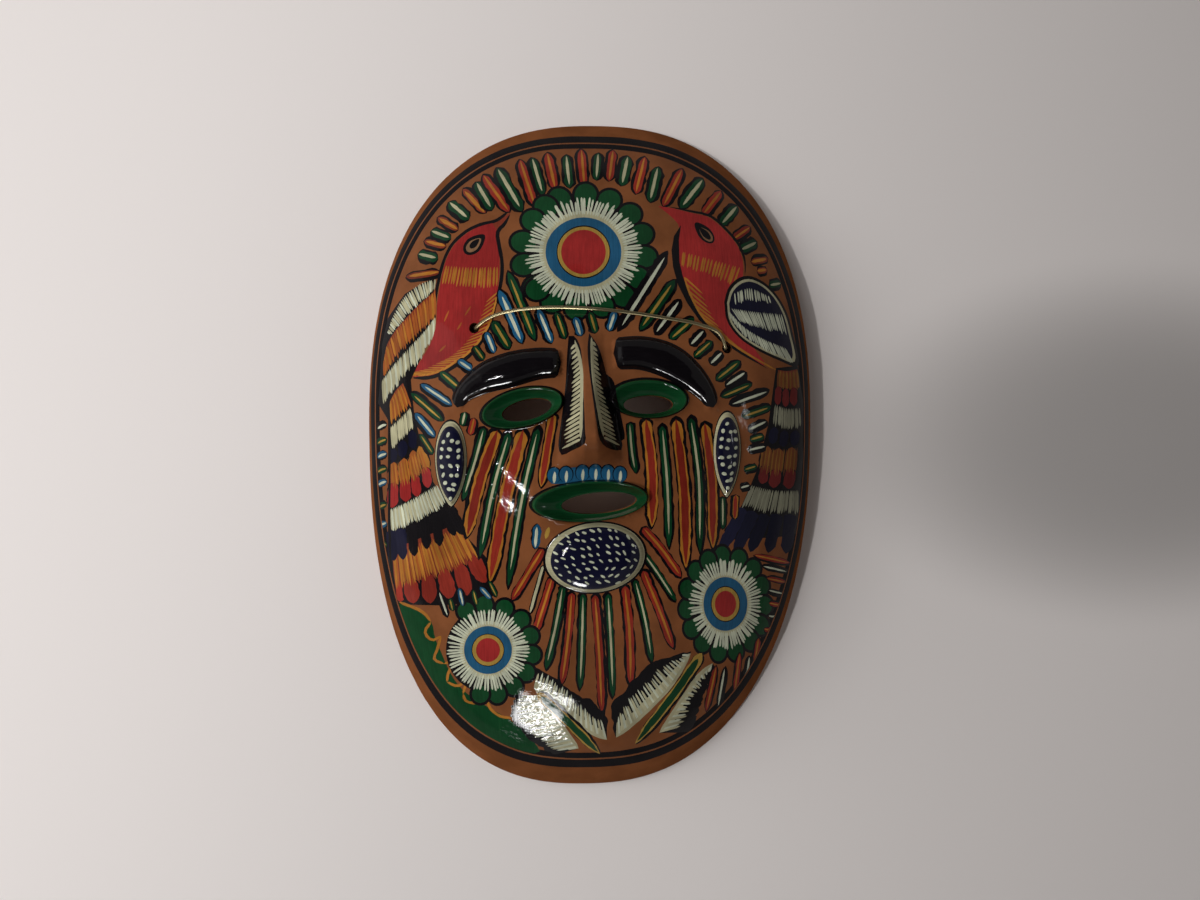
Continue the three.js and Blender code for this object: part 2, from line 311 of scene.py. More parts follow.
def placed(x, y, across, along, tilt):
    # Where a step across and along lies once it is turned by the tilt, in degrees
    turn = math.radians(tilt)
    px = x + across * math.cos(turn) - along * math.sin(turn)
    return px, y + across * math.sin(turn) + along * math.cos(turn)


def turned(x, y, oval):
    turn = math.radians(oval[4])
    dx = x - oval[0]
    dy = y - oval[1]
    return dx * math.cos(turn) + dy * math.sin(turn), dy * math.cos(turn) - dx * math.sin(turn)


def ovalBetween(ring, share):
    return [mix(a, b, share) for a, b in zip(ring["opening"], ring["outer"])]


def ringShare(ring, x, y):
    # The share at which the oval between the opening and the outer edge passes through a place.
    low = np.full(np.shape(x), -0.5)
    high = np.full(np.shape(x), 3.0)
    for _ in range(18):
        middle = (low + high) / 2
        cx, cy, a, b, tilt = ovalBetween(ring, middle)
        turn = np.radians(tilt)
        across = (x - cx) * np.cos(turn) + (y - cy) * np.sin(turn)
        along = (y - cy) * np.cos(turn) - (x - cx) * np.sin(turn)
        outside = (across / a) ** 2 + (along / b) ** 2 > 1
        low = np.where(outside, middle, low)
        high = np.where(outside, high, middle)
    return (low + high) / 2


def ringAt(ring, x, y):
    share = ringShare(ring, x, y)
    tall = ring["height"]
    funnel = mix(-openingDrop, tall, np.clip(share / crestShare, 0, None) ** 1.5)
    off = np.clip((share - crestShare) / (1 - crestShare), 0, None)
    side = np.where(off < 1, tall * np.clip(1 - off**2, 0, None) ** 0.7, (1 - off) * 1.2)
    return np.where(share < crestShare, funnel, softPositive(side - 0.1, 0.5))


def padOutline(pad, angle, share=1.0):
    x, y, a, b, tilt = pad["oval"]
    low = (1 - np.sin(angle)) / 2
    narrow = (1 - pad["taper"] * low) * np.abs(np.cos(angle)) ** (pad["sharp"] * low)
    across = a * np.cos(angle) * narrow * share
    return placed(x, y, across, b * np.sin(angle) * share, tilt)


def padAt(pad, x, y):
    angle = np.linspace(0, 2 * math.pi, 241)
    across, along = turned(*padOutline(pad, angle), pad["oval"])
    way = np.unwrap(np.arctan2(along, across))
    across, along = turned(x, y, pad["oval"])
    here = np.mod(np.arctan2(along, across) - way[0], 2 * math.pi) + way[0]
    edge = np.interp(here, way, np.hypot(*turned(*padOutline(pad, angle), pad["oval"])))
    share = np.hypot(across, along) / edge
    top = pad["height"] * np.clip(1 - share**4.2, 0, None) ** 0.6
    return softPositive(np.where(share < 1, top, (1 - share) * edge) - 0.2, 0.6)


def near(x, y, cx, cy, wide, tall):
    return (np.abs(x - cx) < wide) & (np.abs(y - cy) < tall)


def reliefAt(x, y):
    # How far the clay stands above the plain dome, measured upright.
    x = np.asarray(x, float)
    y = np.asarray(y, float)
    lift = np.zeros(x.shape)

    def add(part, where):
        if where.any():
            lift[where] = np.maximum(lift[where], part(x[where], y[where]))

    add(noseAt, near(x, y, -2, 20, 24, 36))
    for brow in brows:
        middle = np.mean(brow["line"], axis=0)
        add(lambda a, b, brow=brow: browAt(brow, a, b), near(x, y, *middle, 34, 20))
    for pad in pads:
        cx, cy, a, b, _ = pad["oval"]
        add(lambda u, v, pad=pad: padAt(pad, u, v), near(x, y, cx, cy, a + 6, b + 6))
    for ring in rings:
        cx, cy, a, b, _ = ring["outer"]
        where = near(x, y, cx, cy, a + 6, b + 6)
        if where.any():
            made = ringAt(ring, x[where], y[where])
            inside = ringShare(ring, x[where], y[where]) < 1
            lift[where] = np.where(inside, made, np.maximum(lift[where], made))
    return lift


def unevenAt(u, v):
    # Slow waves over the clay, as a hand leaves them
    wave = np.sin(u * 0.11 + 1.3) * np.sin(v * 0.09 + 0.4) + 0.6 * np.sin(u * 0.23 - v * 0.17 + 2.1)
    return form["unevenness"] * (wave + 0.5 * np.sin(u * 0.31 + v * 0.37))


def frontPoint(u, v):
    x, y, z = outer.lift(u, v)
    edge = np.clip((z - form["rimEdge"]) / 12, 0, 1)
    return np.stack([x, y, z + reliefAt(x, y) + unevenAt(u, v) * edge], axis=-1)


def backPoint(u, v):
    return np.stack(inner.lift(u, v), axis=-1)


def wayUp(point, u, v, step=0.35):
    # The direction square to the surface, from two short steps along it.
    across = point(u + step, v) - point(u - step, v)
    along = point(u, v + step) - point(u, v - step)
    out = np.cross(across, along)
    return out / np.linalg.norm(out, axis=-1, keepdims=True)


# The camera that the photograph was taken with, as near as the outline gives it
eye = {
    "place": np.array([-6.0, 3.0, 400.0]),
    "aim": np.array([4.0, 2.1, 0.0]),
    "lens": 28.0,
    "sensor": 36.0,
    "picture": (1200, 900),
}


def cameraAxes():
    ahead = eye["aim"] - eye["place"]
    ahead = ahead / np.linalg.norm(ahead)
    right = np.cross(ahead, [0, 1, 0])
    right = right / np.linalg.norm(right)
    return ahead, right, np.cross(right, ahead)


# Outside the mask the dome counts as being this far under the table
belowTable = -5.0


def domeAt(x, y):
    angle, distance = polar(x, y)
    share = distance / reachAt(angle)
    dome = mix(form["rimEdge"], form["domeHeight"], fallAt(angle, np.minimum(share, 1)))
    return np.where(share < 1, dome, belowTable)


def seenAt(points):
    # Where on the rolled-out sheet places in the photograph lie, given in its pixels.
    points = np.array(points, float).reshape(-1, 2)
    ahead, right, up = cameraAxes()
    focal = eye["lens"] / eye["sensor"] * eye["picture"][0]
    px = (points[:, 0] - eye["picture"][0] / 2) / focal
    py = (eye["picture"][1] / 2 - points[:, 1]) / focal
    ray = ahead + px[:, None] * right + py[:, None] * up

    def above(z):
        reach = (z - eye["place"][2]) / ray[:, 2]
        x = eye["place"][0] + ray[:, 0] * reach
        y = eye["place"][1] + ray[:, 1] * reach
        return z - domeAt(x, y) - reliefAt(x, y), x, y

    high = np.full(len(points), 82.0)
    low = np.full(len(points), 0.0)
    found = np.zeros(len(points), bool)
    for z in np.linspace(80, 0, 41):
        hit = (above(np.full(len(points), z))[0] < 0) & ~found
        low = np.where(hit, z, low)
        found |= hit
        high = np.where(found, high, z)
    for _ in range(14):
        middle = (low + high) / 2
        free = above(middle)[0] > 0
        high = np.where(free, middle, high)
        low = np.where(free, low, middle)
    _, x, y = above(high)
    return laid(x, y)


print("form ready")

colours = {
    "clay": (0.2, 0.07, 0.026),
    "red": (0.27, 0.018, 0.017),
    "orange": (0.28, 0.076, 0.015),
    "brickRed": (0.22, 0.022, 0.013),
    "brick": (0.18, 0.03, 0.014),
    "ochre": (0.35, 0.135, 0.019),
    "yellow": (0.33, 0.2, 0.04),
    "green": (0.004, 0.036, 0.013),
    "leaf": (0.005, 0.045, 0.014),
    "blue": (0.012, 0.075, 0.15),
    "cream": (0.385, 0.36, 0.225),
    "white": (0.46, 0.48, 0.36),
    # Darker copies of orange, ochre, red and cream for the right tail: painted shade where that side faces
    # away from the light
    "shadedOrange": (0.15, 0.045, 0.012),
    "shadedOchre": (0.19, 0.08, 0.015),
    "shadedRed": (0.13, 0.014, 0.013),
    "shadedCream": (0.22, 0.215, 0.15),
    "navy": (0.006, 0.006, 0.02),
    "black": (0.005, 0.004, 0.005),
    "tan": (0.21, 0.11, 0.055),
}


def withinBorder(spots):
    # Strokes that would run out over the plain border are drawn together at its inner line
    length = np.hypot(*outer.edge(np.arctan2(spots[:, 1], spots[:, 0]), border[-2][0] + 0.4))
    reach = np.hypot(spots[:, 0], spots[:, 1])
    over = np.maximum(reach - length, 0)
    return spots * ((np.minimum(reach, length) + over * 0.05) / reach)[:, None]


# How far in from the rim the varnish has its full thickness, and how much nearer to the rim the
# border was drawn at the upper left than elsewhere, both in millimetres
fullVarnish = 62.0
borderShift = 3.5
borderShiftWay = 120


class Painting:
    # Painted shapes, each over those before it, on the rolled-out sheet

    def __init__(self):
        self.shapes = []
        self.random = np.random.default_rng(11)

    def fill(self, outline, colour, way=(0.0, 1.0), varnish=1.0, vary=0.1, seen=False):
        tone = np.array(colours[colour]) * math.exp(self.random.normal(0, vary))
        length = math.hypot(*way) or 1.0
        if colour == "clay":
            way = (0.0, 0.0)
        self.shapes.append(
            {
                "outline": np.asarray(outline, float),
                "seen": seen,
                "tone": tuple(tone),
                "way": (way[0] / length, way[1] / length),
                "seed": self.random.uniform(0, 60),
                "varnish": varnish,
            }
        )

    def settle(self):
        # Places in the photograph's pixels are found on the sheet; all outlines run one way round
        seen = [shape for shape in self.shapes if shape["seen"]]
        spots = seenAt(np.vstack([shape["outline"] for shape in seen]))
        first = 0
        for shape in seen:
            count = len(shape["outline"])
            shape["outline"] = withinBorder(spots[first : first + count])
            first += count
        kept = []
        for shape in self.shapes:
            x, y = shape["outline"].T
            area = 0.5 * np.sum(x * np.roll(y, -1) - y * np.roll(x, -1))
            if area < 0:
                shape["outline"] = shape["outline"][::-1]
            if shape["seen"]:
                across, along = shape["outline"].mean(axis=0)
                edge = np.hypot(*outer.edge(math.atan2(along, across)))
                margin = edge - math.hypot(across, along)
                shape["varnish"] *= float(np.clip(margin / fullVarnish, 0.25, 1))
            shape["area"] = abs(area)
            if shape["area"] > 0.04:
                kept.append(shape)
        self.shapes = kept


painting = Painting()


def around(inset, count=240):
    # A line round the face, this far in from the rim
    angle = np.linspace(-math.pi, math.pi, count, endpoint=False)
    nearer = borderShift * np.clip(np.cos(angle - math.radians(borderShiftWay)), 0, 1) ** 2
    return np.stack(outer.edge(angle, inset - nearer), axis=-1)


def ovalLine(oval, count=72):
    angle = np.linspace(0, 2 * math.pi, count, endpoint=False)
    x, y, a, b, tilt = oval
    return laid(*placed(x, y, a * np.cos(angle), b * np.sin(angle), tilt))


def holeLine(centre, count=32):
    return ovalLine((*centre, holeDiameter / 2, holeDiameter / 2, 0), count)


def ribbon(points, width, blunt=0.2, shift=0.0, span=(0.0, 1.0), wobble=0.07):
    # The outline of a brush stroke along a line, narrowing at both of its ends
    length = np.linalg.norm(np.diff(np.array(points, float), axis=0), axis=1).sum() * (span[1] - span[0])
    count = int(np.clip(length / 5 + 5, 6, 40))
    line = smoothLine(points, 121)
    even = np.linspace(0, 1, count)
    t = 0.45 * even + 0.55 * (1 - np.cos(math.pi * even)) / 2
    at = mix(*span, t) * 120
    whole = np.clip(at, 0, 120)
    step = np.where(at[:, None] < 60, line[1] - line[0], line[120] - line[119])
    line = np.stack([np.interp(whole, np.arange(121), line[:, k]) for k in range(2)], axis=-1)
    line = line + (at - whole)[:, None] * step
    way = np.gradient(line, axis=0)
    way = way / np.maximum(np.linalg.norm(way, axis=1, keepdims=True), 1e-6)
    side = np.stack([-way[:, 1], way[:, 0]], axis=-1)
    first, last = blunt if isinstance(blunt, tuple) else (blunt, blunt)
    full = np.sin(np.clip(np.minimum(t / first, (1 - t) / last), 0, 1) * math.pi / 2) ** 0.7
    uneven = 1 + wobble * painting.random.normal(0, 1, (2, count))
    left = line + side * (full * width / 2 * uneven[0] + shift)[:, None]
    right = line - side * (full * width / 2 * uneven[1] - shift)[:, None]
    return np.vstack([left, right[-2:0:-1]])


def stroke(points, width, colour, blunt=0.2, vary=0.1, varnish=1.0, **shape):
    way = (points[-1][0] - points[0][0], points[0][1] - points[-1][1])
    painting.fill(ribbon(points, width, blunt, **shape), colour, way, varnish, vary, seen=True)


# What each kind of ornament stroke is made of: body, core, core's share of the width, core's span
kinds = {
    "leafWhite": ("green", "cream", 0.33, (0.03, 0.9)),
    "leafYellow": ("green", "yellow", 0.3, (0.1, 0.92)),
    "redOrange": ("brickRed", "ochre", 0.3, (0.02, 0.95)),
    "orange": ("brick", "ochre", 0.5, (0.08, 0.97)),
    "blueWhite": ("blue", "white", 0.36, (0.12, 0.94)),
    "blackWhite": ("black", "white", 0.38, (0.05, 0.94)),
    "orangeRed": ("ochre", "brickRed", 0.68, (-0.01, 0.98)),
    "creamOnly": ("cream", "cream", 0.5, (0.1, 0.9)),
}


def banded(kind, width, *points, edge=1.7, blunt=0.28):
    body, core, share, span = kinds[kind]
    side = painting.random.choice([-1, 1]) * painting.random.uniform(0.3, 1.1)
    stroke(points, width + 2 * edge, "black", blunt, shift=side, span=(-0.03, 1.03))
    stroke(points, width, body, blunt)
    stroke(points, width * share, core, 0.3, span=span, shift=painting.random.uniform(-0.4, 0.4))


def ellipse(centre, reach, tilt=0.0, count=28, tip=0.0):
    # An oval in the picture; a tip above 0 draws its first end out to a point
    angle = np.linspace(0, 2 * math.pi, count, endpoint=False)
    across = reach[0] * np.cos(angle) * (1 + tip * np.clip(np.cos(angle), 0, 1) ** 3)
    along = reach[1] * np.sin(angle) * (1 - 0.6 * tip * np.clip(np.cos(angle), 0, 1))
    return np.stack(placed(*centre, across, along, -tilt), axis=-1)


def patch(outline, colour, way=(0.0, 1.0), vary=0.05, varnish=1.0):
    painting.fill(outline, colour, way, varnish, vary, seen=True)


def rounded(points, count=60):
    # A closed outline with its corners softened
    p = np.array(points, float)
    line = smoothLine(np.vstack([p, p[:1]]), count + 1)
    return line[:-1]


def barbs(upper, lower, count, width, tones, ragged=2.5, base=None, blunt=0.3, varnish=1.0):
    # Strokes side by side from one line to another, as the barbs of a feather
    top = smoothLine(upper, 200)
    bottom = smoothLine(lower, 200)
    if base:
        inset = mix(top, bottom, 0.86)
        patch(np.vstack([top[::8], inset[::-8]]), base)
    for k in range(count):
        t = int((k + 0.5 + painting.random.uniform(-0.25, 0.25)) / count * 199)
        way = bottom[t] - top[t]
        end = bottom[t] + way / max(1e-6, np.hypot(*way)) * painting.random.uniform(-ragged, ragged)
        wide = width * painting.random.uniform(0.8, 1.2)
        stroke([tuple(top[t]), tuple(end)], wide, tones[k % len(tones)], blunt, varnish=varnish)


flowerPaint = {
    "petalEdge": 2.4,
    "petalInset": -0.4,
    "petalShake": (-0.08, 0.05),
    "solidShare": 0.24,
    "barbShake": 0.15,
    "barbLean": 0.03,
    "barbReach": (0.95, 1.04),
    "barbWidth": (0.85, 1.15),
}


def flower(spec):
    # Petals, a fringe of fine barbs and rings, round a centre; all sizes are in picture pixels
    draw = painting.random.uniform
    cx, cy = spec["centre"]
    sx, sy = spec["stretch"]
    distance, radial, wide = spec["petal"]
    patch(ellipse((cx, cy), (sx * (distance - 2), sy * (distance - 2)), 0, 48), "black", vary=0.02)
    for angle in spec["petals"]:
        turn = math.radians(angle)
        shake = 1 + draw(*flowerPaint["petalShake"])
        at = (cx + distance * math.cos(turn) * sx, cy - distance * math.sin(turn) * sy)
        for grow, colour in ((flowerPaint["petalEdge"], "black"), (flowerPaint["petalInset"], "leaf")):
            shape = ellipse((0, 0), (radial * shake + grow, wide + grow), angle, 24)
            patch(shape * np.array([sx, sy]) + np.array(at), colour)
    low, high = spec["fringe"]
    solid = mix(low, high, flowerPaint["solidShare"])
    patch(ellipse((cx, cy), (sx * solid, sy * solid), 0, 60), "cream", vary=0.02)
    count = spec["barbs"]
    for k in range(count):
        turn = 2 * math.pi * (k + draw(-flowerPaint["barbShake"], flowerPaint["barbShake"])) / count
        lean = turn + draw(-flowerPaint["barbLean"], flowerPaint["barbLean"])
        reach = high * draw(*flowerPaint["barbReach"])
        start = (cx + low * math.cos(turn) * sx, cy - low * math.sin(turn) * sy)
        end = (cx + reach * math.cos(lean) * sx, cy - reach * math.sin(lean) * sy)
        wide = spec["barb"] * draw(*flowerPaint["barbWidth"])
        stroke([start, end], wide, "white", (0.2, 0.16), vary=0.06)
    for (across, along), colour in zip(spec["rings"], ("blue", "black", "yellow", "red")):
        patch(ellipse((cx, cy), (across, along), 0, 56), colour, vary=0.02)


# The plain border: lines of black round the face, at distances from the rim
border = [(16.2, "black"), (22.3, "clay"), (23.4, "black"), (27.4, "clay")]
for inset, colour in border:
    painting.fill(around(inset), colour, varnish=0.3, vary=0.0)

# Ornament strokes round the crown, in pixels of the photograph, from the border inwards
crownStrokes = [
    ("orange", 6, (406, 277), (440, 272)),
    ("leafWhite", 8.5, (418, 254), (438, 258.5)),
    ("orange", 6, (424, 241), (446, 246.5)),
    ("leafWhite", 8, (431, 231), (451, 238.5)),
    ("orange", 6.5, (437.5, 217.5), (458, 230)),
    ("leafWhite", 9.5, (449, 202), (469, 219.5)),
    ("orange", 7, (463, 189), (485.5, 213)),
    ("leafWhite", 9.5, (476, 182), (492, 210)),
    ("redOrange", 8.5, (483, 175), (509, 212)),
    ("leafWhite", 10, (497, 168), (522, 211)),
    ("redOrange", 8, (520, 160), (535, 206)),
    ("leafWhite", 8, (532, 158), (543, 195)),
    ("redOrange", 8.5, (547, 153), (555, 189)),
    ("leafWhite", 8, (566, 155), (569.5, 188)),
    ("redOrange", 7.5, (581, 149), (584, 186)),
    ("leafWhite", 7, (598, 153), (596, 180)),
    ("redOrange", 7.5, (613, 150), (609, 181)),
    ("leafWhite", 9.5, (628, 156), (622, 186)),
    ("redOrange", 8, (645, 157), (636, 194)),
    ("leafWhite", 9, (658, 167), (650, 202)),
    ("redOrange", 8, (682, 169), (663, 206)),
    ("leafWhite", 10, (703, 179), (680.5, 208)),
    ("redOrange", 8, (721, 191), (703, 214)),
    ("leafWhite", 9, (737, 206), (720.5, 225)),
    ("redOrange", 7, (750, 227), (733, 239)),
    ("leafWhite", 8.5, (757, 242), (740, 250.5)),
    ("orange", 6, (768, 259), (751, 262)),
    ("orange", 5.5, (767, 270), (757, 271.5)),
    ("leafWhite", 7, (781, 283), (769, 285)),
]
for kind, width, start, end in crownStrokes:
    banded(kind, width * 1.04, start, end, edge=2.7, blunt=0.2)

flowers = [
    {
        "centre": (583.5, 252),
        "stretch": (1.0, 0.93),
        "petal": (61, 12.5, 11.5),
        "petals": [88, 65, 41, 18, -5, -27, -50, -72, -97, -120, -142, 113, 128, 146, 170, 193, 221],
        "fringe": (40, 57.5),
        "barbs": 98,
        "barb": 2.1,
        "rings": [(38, 34.5), (27, 26.5), (26, 25.2), (22.3, 22)],
    },
    {
        "centre": (488, 650),
        "stretch": (0.98, 1.0),
        "petal": (45, 9.5, 9),
        "petals": [95, 68, 42, 18, -6, -30, -54, -78, -100, 120],
        "fringe": (25, 41.5),
        "barbs": 68,
        "barb": 2.0,
        "rings": [(24, 24), (16.4, 16.4), (15.6, 15.6), (12, 12)],
    },
    {
        "centre": (725.5, 604),
        "stretch": (0.81, 1.0),
        "petal": (48, 10.5, 9.8),
        "petals": [95, 70, 46, 22, -2, -26, -50, -75, -100, -126, -150, -174, 162, 138, 116],
        "fringe": (28, 45),
        "barbs": 72,
        "barb": 2.0,
        "rings": [(22, 27), (14.6, 18), (13.8, 17), (10.6, 13.2)],
    },
]
flower(flowers[0])

# Two birds beside the large flower, in pixels of the photograph like all that follows
leftBird = {
    "body": [
        (510, 212.5), (497, 221), (482, 225.5), (468, 232.5), (455, 244), (446, 260), (440.5, 283),
        (437, 303), (436, 324), (431, 342), (421, 360), (411.5, 376), (430.5, 375.5), (443, 370.5),
        (455, 363), (467, 355), (479, 341.5), (489, 324.5), (492.5, 312), (497, 294), (499, 276),
        (499.5, 256), (496.5, 238), (497, 231.5),
    ],
    "beak": [(511, 212), (505, 223), (497.5, 231), (492, 222.5), (500, 219)],
    "back": [
        (509, 211), (496, 220.5), (482, 224), (467, 231), (453, 243.5), (444, 260), (438, 283),
        (434.5, 303), (434.5, 322),
    ],
    "front": [
        (510, 214), (505, 223), (497.5, 232), (498.5, 242), (502, 262), (500.5, 286), (495, 305),
        (489.5, 326), (479.5, 344), (467, 357.5), (455, 366), (443, 373), (429, 377.5), (412, 378),
    ],
    "band": ([(445, 265), (470, 267), (498, 266.5)], [(440.5, 284.5), (468, 287), (497.5, 287.5)]),
    "bandStrokes": (19, 2.0, ["ochre"], 1.4),
    "edge": [
        (498, 292), (493, 312), (489, 324), (479, 341), (467, 354), (455, 362), (443, 369.5),
        (430, 374), (417, 376),
    ],
    "plumes": 26,
    "plumeWidth": 1.4,
    "ticks": [
        [(449, 310), (444, 322)], [(471, 306), (464.5, 316)], [(446, 345), (439, 352)],
        [(462, 322), (457, 330)],
    ],
    "eye": [
        ("black", (473.5, 245), (12, 8.2), 42, 28, 0.25),
        ("tan", (473, 245.5), (8.3, 5.2), 42, 24, 0.25),
        ("black", (474, 244), (5.6, 3.2), 44, 20, 0.3),
    ],
}
rightBird = {
    "body": [
        (658, 206), (672, 208), (690, 212.5), (709, 217.5), (725, 231), (738, 247), (743, 262),
        (743, 276), (736, 300), (742, 330), (766, 366), (741, 352), (720, 338), (702, 319), (691, 300),
        (682.5, 278), (679, 262), (678.5, 240), (679, 226), (671, 216.5),
    ],
    "crescent": [
        (681, 225), (674, 236), (671.5, 250), (673, 267), (678, 285), (687, 303), (699, 320),
        (720, 341), (742, 355), (768, 369), (741, 351), (721, 336), (703, 318), (691.5, 299),
        (683, 277), (679.5, 262), (679, 240),
    ],
    "back": [
        (668, 206.5), (690, 211), (710, 216), (726, 229.5), (739.5, 246), (745, 262), (745, 276),
    ],
    "band": ([(681, 251), (706, 257.5), (741.5, 267.5)], [(679.5, 265.5), (702, 273), (735, 285.5)]),
    "bandStrokes": (18, 2.0, ["ochre"], 1.6),
    "edge": [(684, 277), (691, 296), (702, 316), (718, 333), (738, 348), (756, 359)],
    "plumes": 16,
    "plumeWidth": 1.7,
    "eye": [
        ("black", (705, 233.5), (12.2, 6.6), 132, 28, 0.2),
        ("tan", (706.5, 235), (8.2, 4.4), 132, 24, 0.2),
        ("black", (705.5, 234), (7.2, 3.1), 132, 20, 0.2),
    ],
}


def plumage(bird, plumeAt):
    # The band across a bird, then the plumes that hang from the edge of its wing
    barbs(*bird["band"], *bird["bandStrokes"])
    for k, (x, y) in enumerate(smoothLine(bird["edge"], bird["plumes"])):
        across, down = plumeAt(k / (bird["plumes"] - 1))
        stroke([(x, y), (x + across, y + down)], bird["plumeWidth"], "ochre", (0.1, 0.5))
    stroke(bird["edge"], 2.2, "ochre", 0.1)


def leftPlume(share):
    reach = mix(17, 22, math.sin(math.pi * share))
    return -reach * mix(0.7, 0.96, share), reach * mix(0.6, -0.2, share)


def rightPlume(share):
    return mix(19, 22, share), mix(17, 12, share)


def birdEye(bird):
    for colour, centre, reach, tilt, count, tip in bird["eye"]:
        patch(ellipse(centre, reach, tilt, count, tip), colour)


patch(rounded(leftBird["body"], 90), "red")
patch(leftBird["beak"], "brick")
stroke(leftBird["back"], 3.2, "black", 0.08)
stroke(leftBird["front"], 3.8, "black", 0.08)
plumage(leftBird, leftPlume)
for tick in leftBird["ticks"]:
    stroke(tick, 1.6, "orange", 0.45)
birdEye(leftBird)

patch(rounded(rightBird["body"], 80), "red")
patch(rightBird["crescent"], "black")
stroke(rightBird["back"], 2.4, "black", 0.3)
plumage(rightBird, rightPlume)
birdEye(rightBird)

# The right bird's wing: a leaf with rows of white hatching on black
wing = {
    "leaf": [
        (727, 303), (731, 290), (739.5, 281.5), (749, 279), (762, 284), (774, 295), (784, 312),
        (790, 332), (794.5, 362), (778, 357), (757, 347), (740, 335), (729.5, 320),
    ],
    "edgeGrowth": 1.09,
    "innerGrowth": 0.93,
    "rows": [
        ([(734, 293), (749, 288), (769, 296)], [(735, 305), (752, 301), (772, 304)], 15),
        ([(731, 308), (752, 311), (782, 314)], [(740, 321), (760, 328), (787, 334)], 25),
        (
            [(729, 311), (742, 325), (762, 338), (786, 348)],
            [(731, 320), (745, 336), (767, 351), (795, 364)],
            27,
        ),
    ],
    "barb": 1.45,
}
wingMiddle = np.mean(wing["leaf"], axis=0)
leaf = rounded(wing["leaf"], 60)
patch(wingMiddle + (leaf - wingMiddle) * wing["edgeGrowth"], "black")
patch(leaf, "cream")
patch(wingMiddle + (leaf - wingMiddle) * wing["innerGrowth"], "navy")
for upper, lower, count in wing["rows"]:
    barbs(upper, lower, count, wing["barb"], ["white"], 1.6)


def framed(colour, width, start, end, rim=2.2):
    # A broad stroke with a thin black edge
    stroke([start, end], width + rim, "black", 0.3)
    stroke([start, end], width, colour, 0.3)


# Wing and tail of the left bird: rows of feathers down the left side of the face. Each row has its
# upper and lower line, then the number of strokes, their width, colours, raggedness, ground and ends.
leftTail = {
    "ground": [
        (434, 278), (405, 294), (388, 318), (382, 345), (380, 378), (378, 403), (388, 420), (388, 452),
        (388, 505), (388, 560), (398, 603), (492, 600), (489, 560), (465, 535), (445, 500), (432, 480),
        (420, 440), (414, 412), (411, 380), (421, 358), (434, 330),
    ],
    "wingRows": [
        (
            [(435.5, 279), (421, 283), (404, 297), (393, 316), (387, 333)],
            [(434, 290), (423, 301), (410, 313), (399, 326), (390, 336)],
            30, 2.0, ["cream", "cream", "white"], 2.2,
        ),
        (
            [(435.5, 290), (422, 302), (409, 315), (396, 330), (387, 345), (384, 362)],
            [(436, 317), (425, 329), (412, 342), (400, 354), (390, 367), (383, 378)],
            27, 2.4, ["orange", "ochre", "orange"], 2.4, "brick",
        ),
        (
            [(435, 317), (424, 331), (413, 343), (401, 356), (390, 369), (382, 380)],
            [(434, 334), (427, 348), (418, 362), (406, 374), (394, 389), (383, 403)],
            34, 2.2, ["cream", "white", "cream"], 2.6,
        ),
        (
            [(403, 383), (396, 390), (390, 401)],
            [(411, 405), (402, 414), (391, 424)],
            10, 2.5, ["orange", "ochre"], 2.0, "brick",
        ),
        (
            [(410.5, 407), (401, 417), (390, 427)],
            [(413.5, 428), (403.5, 438), (392, 451)],
            13, 2.2, ["cream"], 1.5,
        ),
    ],
    "feathers": [
        ("navy", 9, (412, 430), (413, 449)), ("navy", 9, (403, 440), (402, 458)),
        ("navy", 8, (394, 448), (392, 463)), ("orange", 11, (394, 462), (393, 490)),
        ("orange", 11, (404, 458), (405, 484)), ("orange", 10, (413, 450), (416, 478)),
        ("ochre", 9, (419, 446), (428, 470)), ("red", 11, (394, 482), (392, 508)),
        ("red", 11, (405, 478), (406, 502)), ("red", 9, (415, 474), (417, 497)),
        ("red", 9, (425, 466), (428, 488)),
    ],
    "middleRows": [
        (
            [(391, 463), (404, 460), (421, 448)],
            [(393, 488), (406, 484), (428, 470)],
            22, 1.5, ["ochre", "orange"], 3, None, 0.4,
        ),
        (
            [(390, 509), (408, 501), (437, 484.5)],
            [(391.5, 532.5), (407, 526), (422, 519.5), (446.5, 504)],
            32, 2.2, ["cream", "white"], 1.6,
        ),
    ],
    "dark": [
        ("navy", (391, 530), (394, 561)), ("navy", (400, 528), (403, 560)),
        ("black", (412, 524), (414.5, 556.5)), ("black", (424, 518), (427, 549.5)),
        ("black", (436, 513), (440, 546.5)), ("black", (444, 508), (455, 536)),
        ("black", (449, 506), (463, 535)),
    ],
    "fanGround": [
        (392, 547), (403, 545), (414, 541), (427, 535), (440, 531), (459, 522), (477, 556), (466, 566),
        (440, 578), (415, 584), (394, 590),
    ],
    "redTips": [
        ((397, 580), (400.5, 602)), ((410, 578), (413.5, 603.5)), ((427, 572), (430.5, 603.5)),
        ((443, 568), (450, 599)), ((458, 562), (467.5, 595.5)), ((471, 556), (486, 582.5)),
    ],
    "fanRow": (
        [(393, 550), (415, 544), (438, 536), (450, 529), (461, 525)],
        [(396, 588), (412, 583), (436, 576), (458, 567), (478, 555)],
        36, 2.1, ["ochre", "orange", "ochre"], 3.4,
    ),
}
patch(leftTail["ground"], "black")
for row in leftTail["wingRows"]:
    barbs(*row)
for feather in leftTail["feathers"]:
    framed(*feather)
for row in leftTail["middleRows"]:
    barbs(*row)
for colour, start, end in leftTail["dark"]:
    stroke([start, end], 11.5, colour, 0.22)
patch(leftTail["fanGround"], "brick")
for start, end in leftTail["redTips"]:
    framed("brickRed", 14.5, start, end, rim=3.0)
barbs(*leftTail["fanRow"])
for colour, start, end in leftTail["dark"]:
    stroke([start, end], 9.8, colour, (0.03, 0.3))
